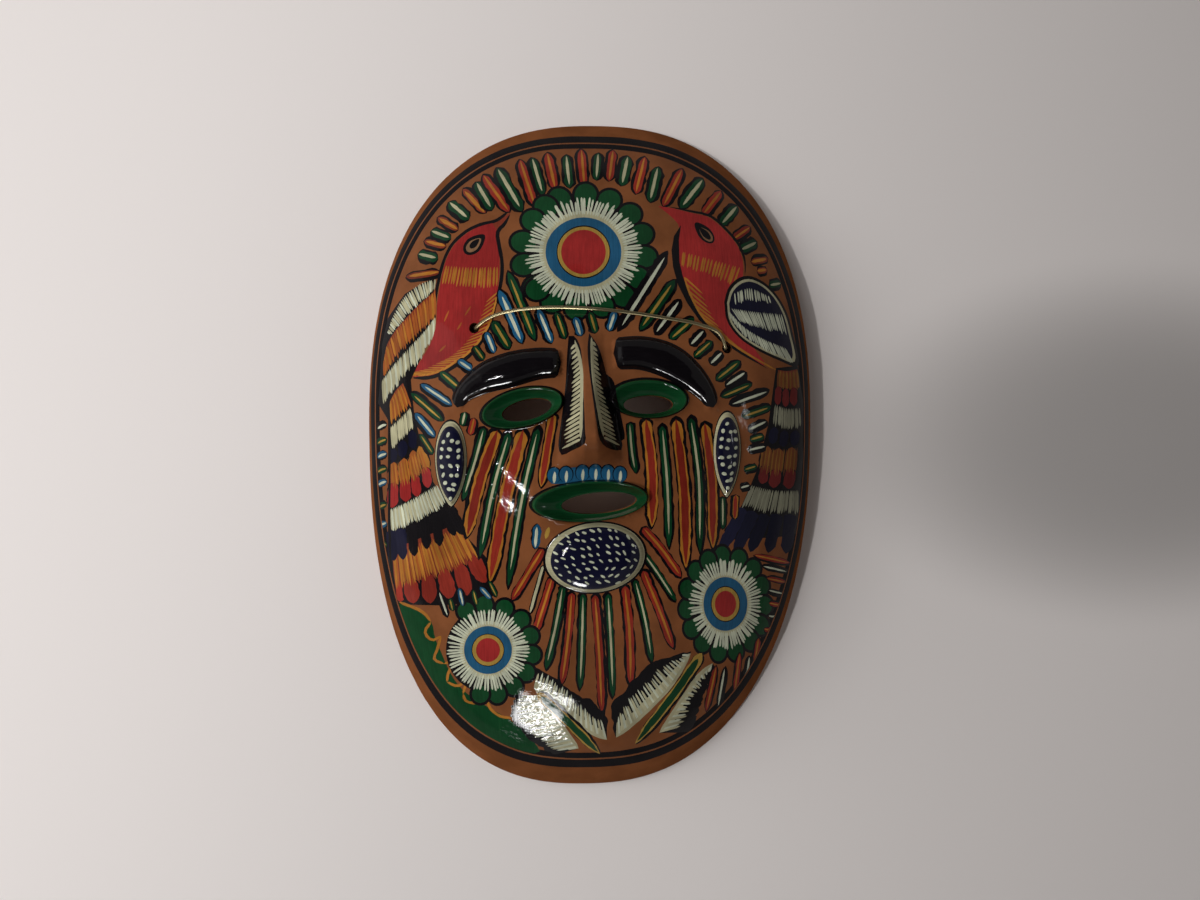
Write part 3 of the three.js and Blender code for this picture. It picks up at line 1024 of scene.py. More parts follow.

# The matching tail down the right side, on black, in darker copies of its colours: painted shade on the side
# that faces away from the light
rightTail = {
    "ground": [
        (776, 368), (798, 366), (803, 400), (803, 455), (801, 505), (799, 536), (752, 538), (728, 540),
        (724, 530), (742, 505), (757, 470), (768, 425),
    ],
    "topRow": (
        [(778, 370), (788, 371), (798, 369)],
        [(777, 388), (788, 391), (800, 390)],
        12, 2.2, ["shadedOrange", "shadedOchre"], 2, "brick",
    ),
    "redTips": [
        ((779, 386), (777.5, 405)), ((786, 388), (785.5, 407)), ((793.5, 387), (794, 406)),
    ],
    "creamRow": (
        [(775, 404), (787, 408), (800, 408)],
        [(773, 425), (787, 429), (801, 428)],
        14, 2.0, ["shadedCream"], 1.6,
    ),
    "feathers": [
        ("navy", 9, (775, 427), (772, 444)), ("navy", 9, (785, 430), (783, 447)),
        ("navy", 9, (796, 430), (794, 446)), ("shadedOrange", 11, (768, 446), (764, 470)),
        ("shadedOrange", 12, (779, 448), (776, 474)), ("shadedOrange", 12, (792, 447), (790, 474)),
        ("shadedRed", 10, (766, 464), (762, 484)), ("shadedRed", 11, (777, 468), (773, 488)),
        ("shadedRed", 11, (791, 468), (788, 489)),
    ],
    "lowerRows": [
        (
            [(763, 446), (780, 449), (798, 447)],
            [(759, 470), (776, 475), (796, 474)],
            20, 1.5, ["shadedOchre", "shadedOrange"], 3, None, 0.4,
        ),
        (
            [(752, 485), (775, 490), (799, 490)],
            [(742, 507), (770, 513), (799, 513)],
            25, 2.2, ["shadedCream"], 1.8,
        ),
    ],
    "dark": [
        ((744, 508), (720, 552)), ((754, 511), (735, 554)), ((766, 514), (750, 552)),
        ((778, 514), (768, 553)), ((791, 514), (786, 554)),
    ],
}
patch(rightTail["ground"], "black")
barbs(*rightTail["topRow"])
for start, end in rightTail["redTips"]:
    framed("shadedRed", 7, start, end, rim=1.6)
barbs(*rightTail["creamRow"])
for feather in rightTail["feathers"]:
    framed(*feather)
for row in rightTail["lowerRows"]:
    barbs(*row)
for line in rightTail["dark"]:
    stroke(line, 12, "navy", (0.05, 0.3), vary=0.2)

# Short strokes between the birds, the brows and the flower
browStrokes = [
    ("blueWhite", 5.5, (421, 384), (452, 405)), ("leafYellow", 6, (440, 372), (461, 390)),
    ("blueWhite", 6, (458, 360), (472, 369.5)), ("leafYellow", 5.5, (474, 346), (484, 360)),
    ("blueWhite", 6, (486, 332), (494.5, 353)), ("leafYellow", 8, (493, 321), (509.5, 349)),
    ("blueWhite", 8, (499, 290), (522, 343)), ("leafYellow", 7, (508, 272), (535, 340)),
    ("blueWhite", 6.5, (538, 309), (552, 343)), ("leafYellow", 6, (556, 312), (565, 339)),
    ("blueWhite", 6.5, (575, 317), (581, 336)), ("leafYellow", 6, (590, 312), (596, 333)),
    ("blueWhite", 6.5, (615, 311), (609, 331)), ("blackWhite", 8, (667, 253), (619, 330)),
    ("leafYellow", 8, (675, 280), (640, 330)), ("blackWhite", 7.5, (680, 300), (655, 334)),
    ("leafYellow", 7, (694, 318), (670, 339)), ("blackWhite", 6.5, (704, 330), (690, 345)),
    ("leafYellow", 6, (712, 341), (694, 357)), ("blackWhite", 6, (722, 352), (710, 364)),
    ("leafYellow", 6, (740, 361), (716, 380)), ("blackWhite", 6, (746, 372), (725, 386)),
    ("leafYellow", 5.5, (752, 384), (721, 397)), ("blackWhite", 6, (769, 391), (730, 405)),
    ("leafYellow", 6, (771, 407), (742, 417)), ("blackWhite", 5.5, (767, 421), (748, 430)),
    ("leafYellow", 5.5, (764, 436), (750, 440)), ("blackWhite", 5, (766, 446), (748, 450)),
    ("leafYellow", 5, (757, 466), (744, 470)), ("blackWhite", 4.5, (750, 485), (740, 488)),
    ("leafYellow", 6, (411, 393), (443, 421)), ("blueWhite", 6, (415, 413), (435, 437)),
    ("leafYellow", 4.5, (420, 434), (433, 454)), ("leafWhite", 5.5, (465, 412), (462, 426)),
    ("redOrange", 5.5, (474, 418), (470, 435)),
]
for kind, width, start, end in browStrokes:
    banded(kind, width * 1.1, start, end, edge=2.4, blunt=0.2)

# Small strokes down the left side, between the border and the feathers
sideStrokes = [
    (426, "blackWhite"), (441, "leafYellow"), (455, "blueWhite"), (470, "leafYellow"),
    (483, "blueWhite"), (506, "leafYellow"), (525, "blueWhite"), (546, "leafYellow"),
]
tailEdge = [(389.5, 425), (389.5, 470), (389.5, 530), (390.5, 560), (396, 596)]
for y, kind in sideStrokes:
    banded(kind, 6.5, (377, y + 3), (381, y), (387, y - 2), edge=1.2)
stroke(tailEdge, 2.2, "black", 0.05)

# Stripes down the cheeks and the chin
cheekStripes = [
    ("leafWhite", 7, (484, 428), (475, 462), (463, 500)),
    ("orangeRed", 11.5, (497, 431), (480, 480), (467, 537)),
    ("leafWhite", 7.5, (509, 433), (493, 490), (480, 557)),
    ("orangeRed", 12.5, (523, 431), (504, 505), (490, 582)),
    ("leafWhite", 7.5, (538, 429), (521, 505), (508, 586)),
    ("orangeRed", 8, (553, 414), (547, 450), (541, 487)),
    ("leafWhite", 6, (630, 423), (632, 450), (636, 473)),
    ("orangeRed", 10, (646, 420), (652, 470), (652, 527)),
    ("leafWhite", 7, (662, 426), (667, 485), (669, 547)),
    ("orangeRed", 10.5, (676, 420), (684, 490), (686, 568)),
    ("leafWhite", 7, (691, 418), (699, 480), (700, 552)),
    ("orangeRed", 9.5, (705, 424), (712, 480), (713, 548)),
    ("leafWhite", 5, (723, 497), (723, 529)),
    ("orangeRed", 5, (736, 495), (735, 519)),
]
for kind, width, *points in cheekStripes:
    banded(kind, width, *points, edge=2.1, blunt=(0.05, 0.2))
beardStripes = [
    ("redOrange", 7, (543, 549), (529, 572), (512, 600)),
    ("creamOnly", 2.5, (543, 566), (530, 613)),
    ("redOrange", 7, (552, 578), (544, 604), (535, 633)),
    ("leafWhite", 6.5, (563, 586), (556, 626), (546, 669)),
    ("redOrange", 7, (572, 593), (568, 640), (562, 684)),
    ("leafWhite", 6, (583, 594), (582, 640), (580, 689)),
    ("redOrange", 7, (595, 595), (599, 650), (602, 712)),
    ("leafWhite", 6, (608, 594), (611, 645), (613, 697)),
    ("redOrange", 7.5, (625, 586), (630, 635), (631, 685)),
    ("leafWhite", 5.5, (635, 580), (645, 620), (652, 662)),
    ("redOrange", 7, (643, 571), (659, 610), (673, 648)),
    ("leafWhite", 5, (644, 553), (660, 576), (676, 601)),
    ("redOrange", 7, (643, 528), (662, 550), (681, 577)),
]
for kind, width, *points in beardStripes:
    banded(kind, width * 1.06, *points, edge=1.7, blunt=(0.05, 0.16))

# Brows, eyes, lips and pads are painted over the raised forms, a little past their edges
browPaint = {"steps": 40, "over": 0.5, "tipShare": 0.06, "endShare": 0.05, "endPower": 0.6}
reliefVarnish = 1.2


def browLine(brow, count):
    # The middle line of a brow, the way square to it and its half width, in even steps
    line = smoothLine(brow["line"], count)
    way = np.gradient(line, axis=0)
    way = way / np.linalg.norm(way, axis=1, keepdims=True)
    side = np.stack([way[:, 1], -way[:, 0]], axis=-1)
    return line, side, browWidth(brow, np.linspace(0, 1, count))


for brow in brows:
    line, side, wide = browLine(brow, browPaint["steps"])
    along = np.linspace(0, 1, browPaint["steps"])
    nearEnd = np.minimum(along / browPaint["tipShare"], (1 - along) / browPaint["endShare"])
    ends = np.sin(np.clip(nearEnd, 0, 1) * math.pi / 2) ** browPaint["endPower"]
    beside = side * ((wide + browPaint["over"]) * ends)[:, None]
    outline = np.vstack([line + beside, (line - beside)[::-1]])
    painting.fill(laid(*outline.T), "black", (1, 0), varnish=reliefVarnish, vary=0.0)
for ring, over in zip(rings, (1.13, 1.13, 1.08)):
    painting.fill(ovalLine(ovalBetween(ring, over)), "black", (1, 0), vary=0.0)
    painting.fill(ovalLine(ovalBetween(ring, 0.97)), "leaf", (1, 0), varnish=reliefVarnish, vary=0.0)


def padFill(pad, layers):
    angle = np.linspace(0, 2 * math.pi, 84, endpoint=False)
    for share, colour in layers:
        outline = laid(*padOutline(pad, angle, share))
        painting.fill(outline, colour, (1, 0), varnish=reliefVarnish, vary=0.0)


def dash(pad, across, along, length, width, tilt):
    # A small oval on a pad; its place runs from -1 to 1 across the pad and along it
    x, y, a, b, padTilt = pad["oval"]
    oval = (*placed(x, y, a * across, b * along, padTilt), length / 2, width / 2, tilt)
    painting.fill(ovalLine(oval, 12), "white", (1, 0), varnish=reliefVarnish, vary=0.05)


# Each row of dashes: how far along the pad, how many of them, and how far across they reach
chinRows = [
    (0.72, 7, 0.5), (0.52, 9, 0.68), (0.3, 10, 0.77), (0.08, 10, 0.8), (-0.14, 10, 0.8), (-0.36, 9, 0.73),
    (-0.57, 8, 0.6), (-0.76, 5, 0.4),
]
# Each row of dots on an ear: how far along the pad, and how far across each dot is
earRows = [
    (0.72, (-0.1,)), (0.56, (-0.4, 0.15, 0.5)), (0.36, (-0.5, 0.0, 0.55)), (0.16, (-0.55, -0.1, 0.55)),
    (-0.05, (-0.5, 0.05, 0.5)), (-0.26, (-0.42, 0.1, 0.45)), (-0.46, (-0.3, 0.25)), (-0.64, (-0.05, 0.2)),
    (-0.8, (0.0,)),
]
# Lengths and widths are in millimetres, leans in degrees, and the rest are shares of the pad
chinPaint = {
    "layers": [(1.07, "black"), (1.02, "cream"), (0.91, "navy")],
    "shake": 0.03,
    "arch": 0.07,
    "lean": (-50, -15),
    "fan": 20,
    "lowerRight": (0.2, -0.2),
    "lowerRightLean": (20, 50),
    "length": (1.4, 2.4),
    "width": (0.65, 0.95),
}
earPaint = {
    "layers": [(1.09, "black"), (1.04, "cream"), (0.92, "navy")],
    "shake": 0.04,
    "reach": 0.92,
    "length": (1.5, 2.1),
    "width": (1.1, 1.5),
    "lean": (-40, 80),
}
chin, *ears = pads
draw = painting.random.uniform
padFill(chin, chinPaint["layers"])
for along, count, reach in chinRows:
    for k in range(count):
        shake = chinPaint["shake"]
        across = mix(-reach, reach, k / (count - 1)) + draw(-shake, shake)
        lift = along + chinPaint["arch"] * (1 - (across / reach) ** 2) + draw(-shake, shake)
        lean = draw(*chinPaint["lean"]) - across * chinPaint["fan"]
        if across > chinPaint["lowerRight"][0] and along < chinPaint["lowerRight"][1]:
            lean = draw(*chinPaint["lowerRightLean"])
        dash(chin, across, lift, draw(*chinPaint["length"]), draw(*chinPaint["width"]), lean)
for ear in ears:
    padFill(ear, earPaint["layers"])
    for along, places in earRows:
        for across in places:
            lift = along + draw(-earPaint["shake"], earPaint["shake"])
            length = draw(*earPaint["length"])
            width = draw(*earPaint["width"])
            dash(ear, across * earPaint["reach"], lift, length, width, draw(*earPaint["lean"]))

# The nose: a bare ridge between two feathers, each a dark leaf with a cream spine and barbs
noseFeathers = [
    {
        "leaf": [
            (568.5, 336), (567, 356), (565.5, 384), (561.5, 419), (558.5, 447), (561.5, 455),
            (573, 450), (585, 443), (585, 430), (583, 384), (580, 346), (574, 336),
        ],
        "spine": [(574.7, 340), (581, 366), (581.5, 398), (580.5, 439)],
        "side": -1,
        "reach": (6, 18),
    },
    {
        "leaf": [
            (589, 333), (587.5, 350), (592, 392), (596.5, 422), (601, 442), (610, 449), (622, 449.5),
            (621, 438), (613, 407), (605, 369), (598, 346),
        ],
        "spine": [(591.4, 337), (593.5, 376), (599.5, 414), (603.8, 437)],
        "side": 1,
        "reach": (5, 16),
    },
]
noseShade = [(603, 372), (613, 380), (617, 398), (622, 420), (624, 440), (612, 440), (606, 405)]
patch(rounded(noseShade, 30), "black")
for feather in noseFeathers:
    patch(rounded(feather["leaf"], 50), "black")
    spine = smoothLine(feather["spine"], 23)
    for k, (x, y) in enumerate(spine[1:]):
        reach = mix(*feather["reach"], k / 22) * painting.random.uniform(0.85, 1.1)
        drop = mix(0.95, 0.5, k / 22)
        stroke([(x, y), (x + feather["side"] * reach, y + reach * drop)], 2.5, "cream", (0.1, 0.45))
    stroke(feather["spine"], 3.2, "cream", 0.12)

# The moustache: blue scallops with white drops above the upper lip
moustache = [(554, 475), (566, 474), (582.5, 472.5), (595.5, 472), (608, 472.5), (620, 474)]
moustacheBand = [
    (549, 476), (556, 470), (588, 467), (618, 469), (627, 476), (626, 479), (590, 480), (550, 483),
]
patch(rounded(moustacheBand, 40), "blue")
for x, y in moustache:
    patch(ellipse((x, y), (8.6, 7.6), 90, 22), "black")
    patch(ellipse((x, y + 0.6), (8.0, 6.6), 90, 22), "blue")
for x, y in moustache:
    stroke([(x, y + 8.5), (x + 0.8, y - 3.5)], 3.2, "white", 0.45)

# Two lone strokes at the left of the chin
chinStroke = [(537.5, 524), (535.5, 549)]
chinTick = [(549, 527), (545.5, 539)]
banded("blueWhite", 8.5, *chinStroke, edge=0.6)
stroke(chinTick, 4.2, "yellow", 0.4)

# The foot of the face: a green leaf area with a yellow scribble, flowers and feathers
greenLeaf = [
    (399, 603), (412, 607), (425, 613), (432, 623), (435, 638), (441, 652), (447, 666), (454, 679),
    (464, 691), (478, 701), (493, 710), (510, 720), (527, 735), (540, 752), (520, 752), (490, 745),
    (462, 728), (438, 700), (420, 668), (407, 635),
]
leafEdge = [(399, 602), (412, 607), (424, 613), (431, 622)]
scribble = [
    (431, 622), (425, 632), (432, 640), (441, 636), (437, 650), (434, 659), (444, 664), (453, 661),
    (448, 674), (447, 682), (458, 686), (466, 681), (463, 694), (466, 701), (478, 703), (487, 698),
    (490, 708), (500, 716), (512, 718),
]
patch(rounded(greenLeaf, 70), "leaf", varnish=0.5)
stroke(leafEdge, 3, "ochre", 0.2)
for first, last in zip(range(0, len(scribble) - 3, 3), range(3, len(scribble), 3)):
    stroke(scribble[first : last + 1], 2.6, "ochre", 0.12)
flower(flowers[1])
flower(flowers[2])
footStrokes = [
    ("blackWhite", 5, (439, 591), (448, 617)), ("leafYellow", 4.5, (450, 598), (453, 611)),
    ("blueWhite", 5, (459, 588), (463, 606)), ("leafYellow", 4.5, (473, 590), (477, 606)),
    ("blueWhite", 5, (480, 587), (491, 599)), ("leafYellow", 4, (489, 581), (497, 597)),
    ("redOrange", 5.5, (716, 666), (706, 711)), ("blackWhite", 5, (725, 667), (718, 708)),
    ("redOrange", 5, (740, 653), (735, 693)), ("blackWhite", 5, (750, 656), (747, 680)),
    ("redOrange", 5, (759, 638), (755, 665)), ("redOrange", 5, (754, 555), (790, 563)),
    ("blackWhite", 4.5, (762, 566), (788, 572)), ("redOrange", 4.5, (767, 578), (786, 582)),
    ("blackWhite", 4.5, (768, 590), (784, 594)), ("redOrange", 4.5, (769, 603), (782, 606)),
    ("blackWhite", 4.5, (768, 616), (778, 618)), ("redOrange", 4.5, (764, 629), (774, 632)),
]
for kind, width, start, end in footStrokes:
    banded(kind, width, start, end, edge=1.4)

# Two striped leaves between the feathers. Of each feather: its spine, the line that the tips of its
# barbs reach, and the outer line of its black ground
leafStripes = [[(537, 693), (562, 716), (600, 754)], [(702, 653), (672, 697), (635, 744)]]
footFeathers = [
    {
        "spine": [(534, 688), (551, 705), (572, 720.5), (592, 733), (607, 739.5)],
        "tips": [(538, 672), (552, 679), (565, 690), (580, 705), (592, 715), (602, 721)],
        "beyond": [
            (537, 668), (550, 675), (563, 684), (577, 696), (591, 699.5), (598, 707), (605, 712),
            (608, 728),
        ],
        "count": 26,
        "varnish": 1.0,
    },
    {
        "spine": [(616, 737.5), (635.5, 722), (656, 702.5), (673, 683), (690.5, 653.5)],
        "tips": [
            (616.5, 721), (628, 702), (637, 692), (649, 679.5), (660.5, 668.5), (672, 661.5),
            (685.5, 654),
        ],
        "beyond": [(613, 727), (613, 702), (624, 691), (638, 676), (650, 664), (669, 656.5), (690, 651)],
        "count": 30,
        "varnish": 1.0,
    },
    {
        "spine": [(659.5, 733), (666, 723.5), (676.5, 707.5), (687, 691.5), (698, 676), (713, 663.5)],
        "tips": [(679, 727), (686, 714), (693, 699), (701, 685), (710, 670)],
        "beyond": [(690, 733), (697, 714), (703, 697), (709, 683), (714, 667)],
        "count": 24,
        "varnish": 1.0,
    },
    {
        "spine": [(538, 696), (552, 712), (566, 731), (578.5, 748.5)],
        "tips": [(520, 696), (515, 714), (534, 735), (557, 752)],
        "beyond": [(517, 693), (511, 715), (530, 740), (555, 755)],
        "count": 26,
        "varnish": 2.4,
    },
]
featherTones = ["cream", "white"]
for feather in footFeathers:
    spine = smoothLine(feather["spine"], 30)
    tips = smoothLine(feather["tips"], 30)
    varnish = feather["varnish"]
    jagged = smoothLine(feather["beyond"], 30) + painting.random.uniform(-1.2, 1.2, (30, 2))
    patch(np.vstack([spine, jagged[::-1]]), "black")
    patch(np.vstack([spine, mix(spine, tips, 0.45)[::-1]]), "cream", varnish=varnish)
    count = feather["count"]
    barbs(feather["spine"], feather["tips"], count, 2.1, featherTones, 2.4, None, (0.1, 0.3), varnish)
    stroke(feather["spine"], 3.2, "cream", 0.12)
stripeWidths = {"edge": 12.4, "body": 9.2, "core": 6.6}
for line in leafStripes:
    stroke(line, stripeWidths["edge"], "black", (0.08, 0.3), shift=-1)
    stroke(line, stripeWidths["body"], "yellow", (0.08, 0.3))
    stroke(line, stripeWidths["core"], "leaf", (0.1, 0.3), span=(0.06, 0.97))
painting.settle()

print("painted", len(painting.shapes), "shapes")


class Cut:
    # A sheet divided into triangles along every line that is laid on it.

    def __init__(self):
        self.points = []
        self.edges = []
        self.faces = []

    def loop(self, outline, face=False):
        first = len(self.points)
        self.points.extend(map(tuple, outline))
        numbers = list(range(first, len(self.points)))
        if face:
            self.faces.append(numbers)
        else:
            self.edges.extend(zip(numbers, numbers[1:] + numbers[:1]))
        return numbers

    def line(self, points):
        first = len(self.points)
        self.points.extend(map(tuple, points))
        self.edges.extend((k, k + 1) for k in range(first, len(self.points) - 1))

    def made(self):
        places = [Vector(map(float, p)) for p in self.points]
        points, _, faces, origin, _, owners = delaunay_2d_cdt(places, self.edges, self.faces, 0, 0.02, True)
        return np.array([tuple(p) for p in points]), faces, origin, owners


def spread(step, reachX, reachY, where):
    # Places in rows over the sheet, a little uneven, where the test holds.
    shake = np.random.default_rng(3)
    rows = np.arange(-reachY, reachY, step * 0.866)
    out = []
    for k, y in enumerate(rows):
        x = np.arange(-reachX, reachX, step) + (k % 2) * step / 2
        out.append(np.stack([x, np.full(len(x), y)], axis=-1))
    out = np.vstack(out)
    out = out + shake.uniform(-0.12, 0.12, out.shape) * step
    return out[where(out[:, 0], out[:, 1])]


def inside(sheet, margin):
    def test(u, v):
        angle = np.arctan2(v, u)
        length = np.interp(sheet.row(angle), np.arange(sheet.turns + 1), sheet.total)
        return np.hypot(u, v) < length - margin

    return test


# How closely the sheets are divided: steps in millimetres, and the lines laid along the raised
# forms, as shares of their width
meshing = {
    "rimPlaces": 300,
    "reach": (125, 175),
    "plainStep": 2.4,
    "reliefStep": 1.0,
    "backStep": 4.5,
    "reliefReach": (70, 75),
    "ringLines": (1.06, 1.0, 0.95, 0.9, crestShare, 0.75, 0.55, 0.35, 0.15),
    "padLines": (1.04, 1.0, 0.97, 0.92, 0.84),
    "browLines": (-1.05, -0.98, -0.85, -0.5, 0, 0.5, 0.85, 0.98, 1.05),
}
rimAngles = np.linspace(-math.pi, math.pi, meshing["rimPlaces"], endpoint=False)
front = Cut()
front.loop(np.stack(outer.edge(rimAngles), axis=-1), face=True)
gaps = [ovalLine(ring["opening"]) for ring in rings] + [holeLine(hole) for hole in holes]
for gap in gaps:
    front.loop(gap, face=True)
gapFaces = set(range(1, 1 + len(gaps)))
firstShape = 1 + len(gaps)
for shape in painting.shapes:
    front.loop(shape["outline"], face=True)
for ring in rings:
    for share in meshing["ringLines"]:
        front.loop(ovalLine(ovalBetween(ring, share)))
padTurn = np.linspace(0, 2 * math.pi, 72, endpoint=False)
for pad in pads:
    for share in meshing["padLines"]:
        front.loop(laid(*padOutline(pad, padTurn, share)))
for brow in brows:
    line, side, wide = browLine(brow, 60)
    for u in meshing["browLines"]:
        front.line(laid(*(line + side * wide[:, None] * u).T))


def inRelief(u, v):
    # On a raised form or on the nose, and well inside the rim
    x, y, _ = outer.lift(u, v)
    return inside(outer, 20)(u, v) & ((reliefAt(x, y) > 0.15) | near(x, y, -2, 20, 17, 30))


plain = spread(meshing["plainStep"], *meshing["reach"], inside(outer, 1.2))
front.points.extend(map(tuple, plain))
front.points.extend(map(tuple, spread(meshing["reliefStep"], *meshing["reliefReach"], inRelief)))
frontPlaces, frontFaces, _, frontOwners = front.made()
print("front", len(frontPlaces), "places", len(frontFaces), "faces")

# The last shape painted over a face gives it its colour; -1 is clay that nothing is painted on
faceShape = []
kept = []
for face, owners in zip(frontFaces, frontOwners):
    if 0 not in owners or gapFaces & set(owners):
        continue
    kept.append(face)
    faceShape.append(max([o - firstShape for o in owners if o >= firstShape], default=-1))


def loopsOf(faces):
    # The closed outlines round a set of triangles, each as a ring of point numbers.
    following = {}
    seen = {(a, b) for face in faces for a, b in zip(face, list(face[1:]) + [face[0]])}
    for a, b in seen:
        if (b, a) not in seen:
            following[a] = b
    out = []
    while following:
        start, here = following.popitem()
        ring = [start]
        while here != start:
            ring.append(here)
            here = following.pop(here)
        out.append(ring)
    return out


borders = sorted(loopsOf(kept), key=lambda ring: -len(ring))
borders.sort(key=lambda ring: -np.hypot(*frontPlaces[ring].T).max())
rimLoop = borders[0]
gapLoops = borders[1:]

frontVerts = frontPoint(frontPlaces[:, 0], frontPlaces[:, 1])
frontNormals = wayUp(frontPoint, frontPlaces[:, 0], frontPlaces[:, 1])

back = Cut()
rimTurn = np.arctan2(frontPlaces[rimLoop, 1], frontPlaces[rimLoop, 0])
backRim = back.loop(np.stack(inner.edge(rimTurn), axis=-1), face=True)
backGaps = []
for ring in gapLoops:
    x, y, _ = outer.lift(*frontPlaces[ring].T)
    outline = np.stack(inner.lay(x, y), axis=-1)
    backGaps.append(back.loop(outline[::-1], face=True)[::-1])
spots = spread(meshing["backStep"], *meshing["reach"], inside(inner, 2.5))
back.points.extend(map(tuple, spots))
backPlaces, backFaces, backOrigin, backOwners = back.made()
backOf = {source: k for k, sources in enumerate(backOrigin) for source in sources}
backKept = [face[::-1] for face, owners in zip(backFaces, backOwners) if list(owners) == [0]]
backVerts = backPoint(backPlaces[:, 0], backPlaces[:, 1])
backNormals = -wayUp(backPoint, backPlaces[:, 0], backPlaces[:, 1])
print("back", len(backPlaces), "places", len(backKept), "faces")


class Body:
    # The points and faces of one closed piece, with what each face corner carries.

    def __init__(self):
        self.verts = []
        self.faces = []
        self.normals = []
        self.flats = []
        self.marks = []

    def places(self, verts):
        first = len(self.verts)
        self.verts.extend(map(tuple, verts))
        return first

    def face(self, corners, normals, flats, mark):
        self.faces.append(tuple(corners))
        self.normals.extend(normals)
        self.flats.extend(flats)
        self.marks.append(mark)


body = Body()
frontFirst = body.places(frontVerts)
backFirst = body.places(backVerts)
bareMark = -2
for face, mark in zip(kept, faceShape):
    facing = [frontNormals[k] for k in face]
    body.face([frontFirst + k for k in face], facing, [frontPlaces[k] for k in face], mark)
# The flat map that texture places come from, in millimetres: the back lies beside the front, the
# rim in a row under it, and the walls of the openings in a row under the rim
flatMap = {
    "corner": (130.0, 260.0),
    "size": 600.0,
    "back": (320.0, 0.0),
    "rimRow": -200.0,
    "rimRadius": 90,
    "gapRow": -240.0,
    "gapStart": -140.0,
    "gapPitch": 60,
    "gapStep": 0.8,
    "gapDepth": 8,
}
for face in backKept:
    facing = [backNormals[k] for k in face]
    spots = [backPlaces[k] + np.array(flatMap["back"]) for k in face]
    body.face([backFirst + k for k in face], facing, spots, bareMark)


def rimProfile():
    # The rim from the outer sheet to the inner one: inset, height and the way it faces.
    r = form["rimRounding"]
    out = [(0.0, r + 0.7, 0.0)]
    for k in range(5):
        turn = k / 4 * math.pi / 2
        out.append((r - r * math.cos(turn), r - r * math.sin(turn), turn))
    out.append((form["wall"] / 2, 0.0, math.pi / 2))
    for k in range(5):
        turn = math.pi / 2 + k / 4 * math.pi / 2
        out.append((form["wall"] - r - r * math.cos(turn), r - r * math.sin(turn), turn))
    return out


rimRings = [[frontFirst + k for k in rimLoop]]
outward = np.stack([np.cos(rimTurn), np.sin(rimTurn)], axis=-1)
rimFacing = [[frontNormals[k] for k in rimLoop]]
rimSpots = [0.0]
profile = rimProfile()
for inset, height, turn in profile[:-1]:
    x, y = flat(rimTurn, reachAt(rimTurn) - inset)
    first = body.places(np.stack([x, y, np.full(len(x), height)], axis=-1))
    rimRings.append(list(range(first, first + len(x))))
    side = math.cos(turn)
    rimFacing.append([np.array([ox * side, oy * side, -math.sin(turn)]) for ox, oy in outward])
    rimSpots.append(inset + form["rimEdge"] - height)
rimRings.append([backFirst + backOf[k] for k in backRim])
rimFacing.append([np.array([-ox, -oy, 0.0]) for ox, oy in outward])
rimSpots.append(form["wall"] + 2)
count = len(rimLoop)
for k in range(len(rimRings) - 1):
    for i in range(count):
        j = (i + 1) % count
        corners = [rimRings[k][i], rimRings[k + 1][i], rimRings[k + 1][j], rimRings[k][j]]
        facing = [rimFacing[k][i], rimFacing[k + 1][i], rimFacing[k + 1][j], rimFacing[k][j]]
        along = [rimTurn[t] * flatMap["rimRadius"] for t in (i, i, j, j)]
        down = [rimSpots[k], rimSpots[k + 1], rimSpots[k + 1], rimSpots[k]]
        spots = [np.array([a, flatMap["rimRow"] - d]) for a, d in zip(along, down)]
        body.face(corners, facing, spots, bareMark)

for number, (ring, source) in enumerate(zip(gapLoops, backGaps)):
    count = len(ring)
    centre = frontVerts[ring].mean(axis=0)
    for i in range(count):
        j = (i + 1) % count
        corners = [frontFirst + ring[i], backFirst + backOf[source[i]]]
        corners += [backFirst + backOf[source[j]], frontFirst + ring[j]]
        if len(set(corners)) < 4:
            continue
        flatWay = [centre[:2] - np.array(body.verts[c])[:2] for c in corners]
        facing = [np.array([w[0], w[1], 0.0]) / max(1e-6, np.linalg.norm(w)) for w in flatWay]
        place = flatMap["gapStart"] + flatMap["gapPitch"] * number + i * flatMap["gapStep"]
        deep = flatMap["gapDepth"]
        spots = [np.array([place, flatMap["gapRow"] - d]) for d in (0, deep, deep, 0)]
        body.face(corners, facing, spots, bareMark)


def makeMesh(name, made, materials):
    mesh = bpy.data.meshes.new(name)
    mesh.from_pydata([tuple(c * metre for c in v) for v in made.verts], [], made.faces)
    for material in materials:
        mesh.materials.append(material)
    mesh.polygons.foreach_set("use_smooth", np.ones(len(mesh.polygons), bool))
    return mesh


class Value:
    # A shader value that can be reckoned with.

    def __init__(self, tree, socket):
        self.tree = tree
        self.socket = socket

    def join(self, operation, other, swap=False):
        node = self.tree.nodes.new("ShaderNodeMath")
        node.operation = operation
        pair = [other, self] if swap else [self, other]
        for k, item in enumerate(pair):
            if isinstance(item, Value):
                self.tree.links.new(item.socket, node.inputs[k])
            else:
                node.inputs[k].default_value = item
        return Value(self.tree, node.outputs[0])

    def __add__(self, other):
        return self.join("ADD", other)

    def __sub__(self, other):
        return self.join("SUBTRACT", other)

    def __rsub__(self, other):
        return self.join("SUBTRACT", other, swap=True)

    def __mul__(self, other):
        return self.join("MULTIPLY", other)

    def __rmul__(self, other):
        return self.join("MULTIPLY", other)

    def power(self, other):
        return self.join("POWER", other)

    def between(self, low, high):
        node = self.tree.nodes.new("ShaderNodeMapRange")
        node.interpolation_type = "SMOOTHSTEP"
        self.tree.links.new(self.socket, node.inputs["Value"])
        node.inputs["From Min"].default_value = low
        node.inputs["From Max"].default_value = high
        return Value(self.tree, node.outputs[0])


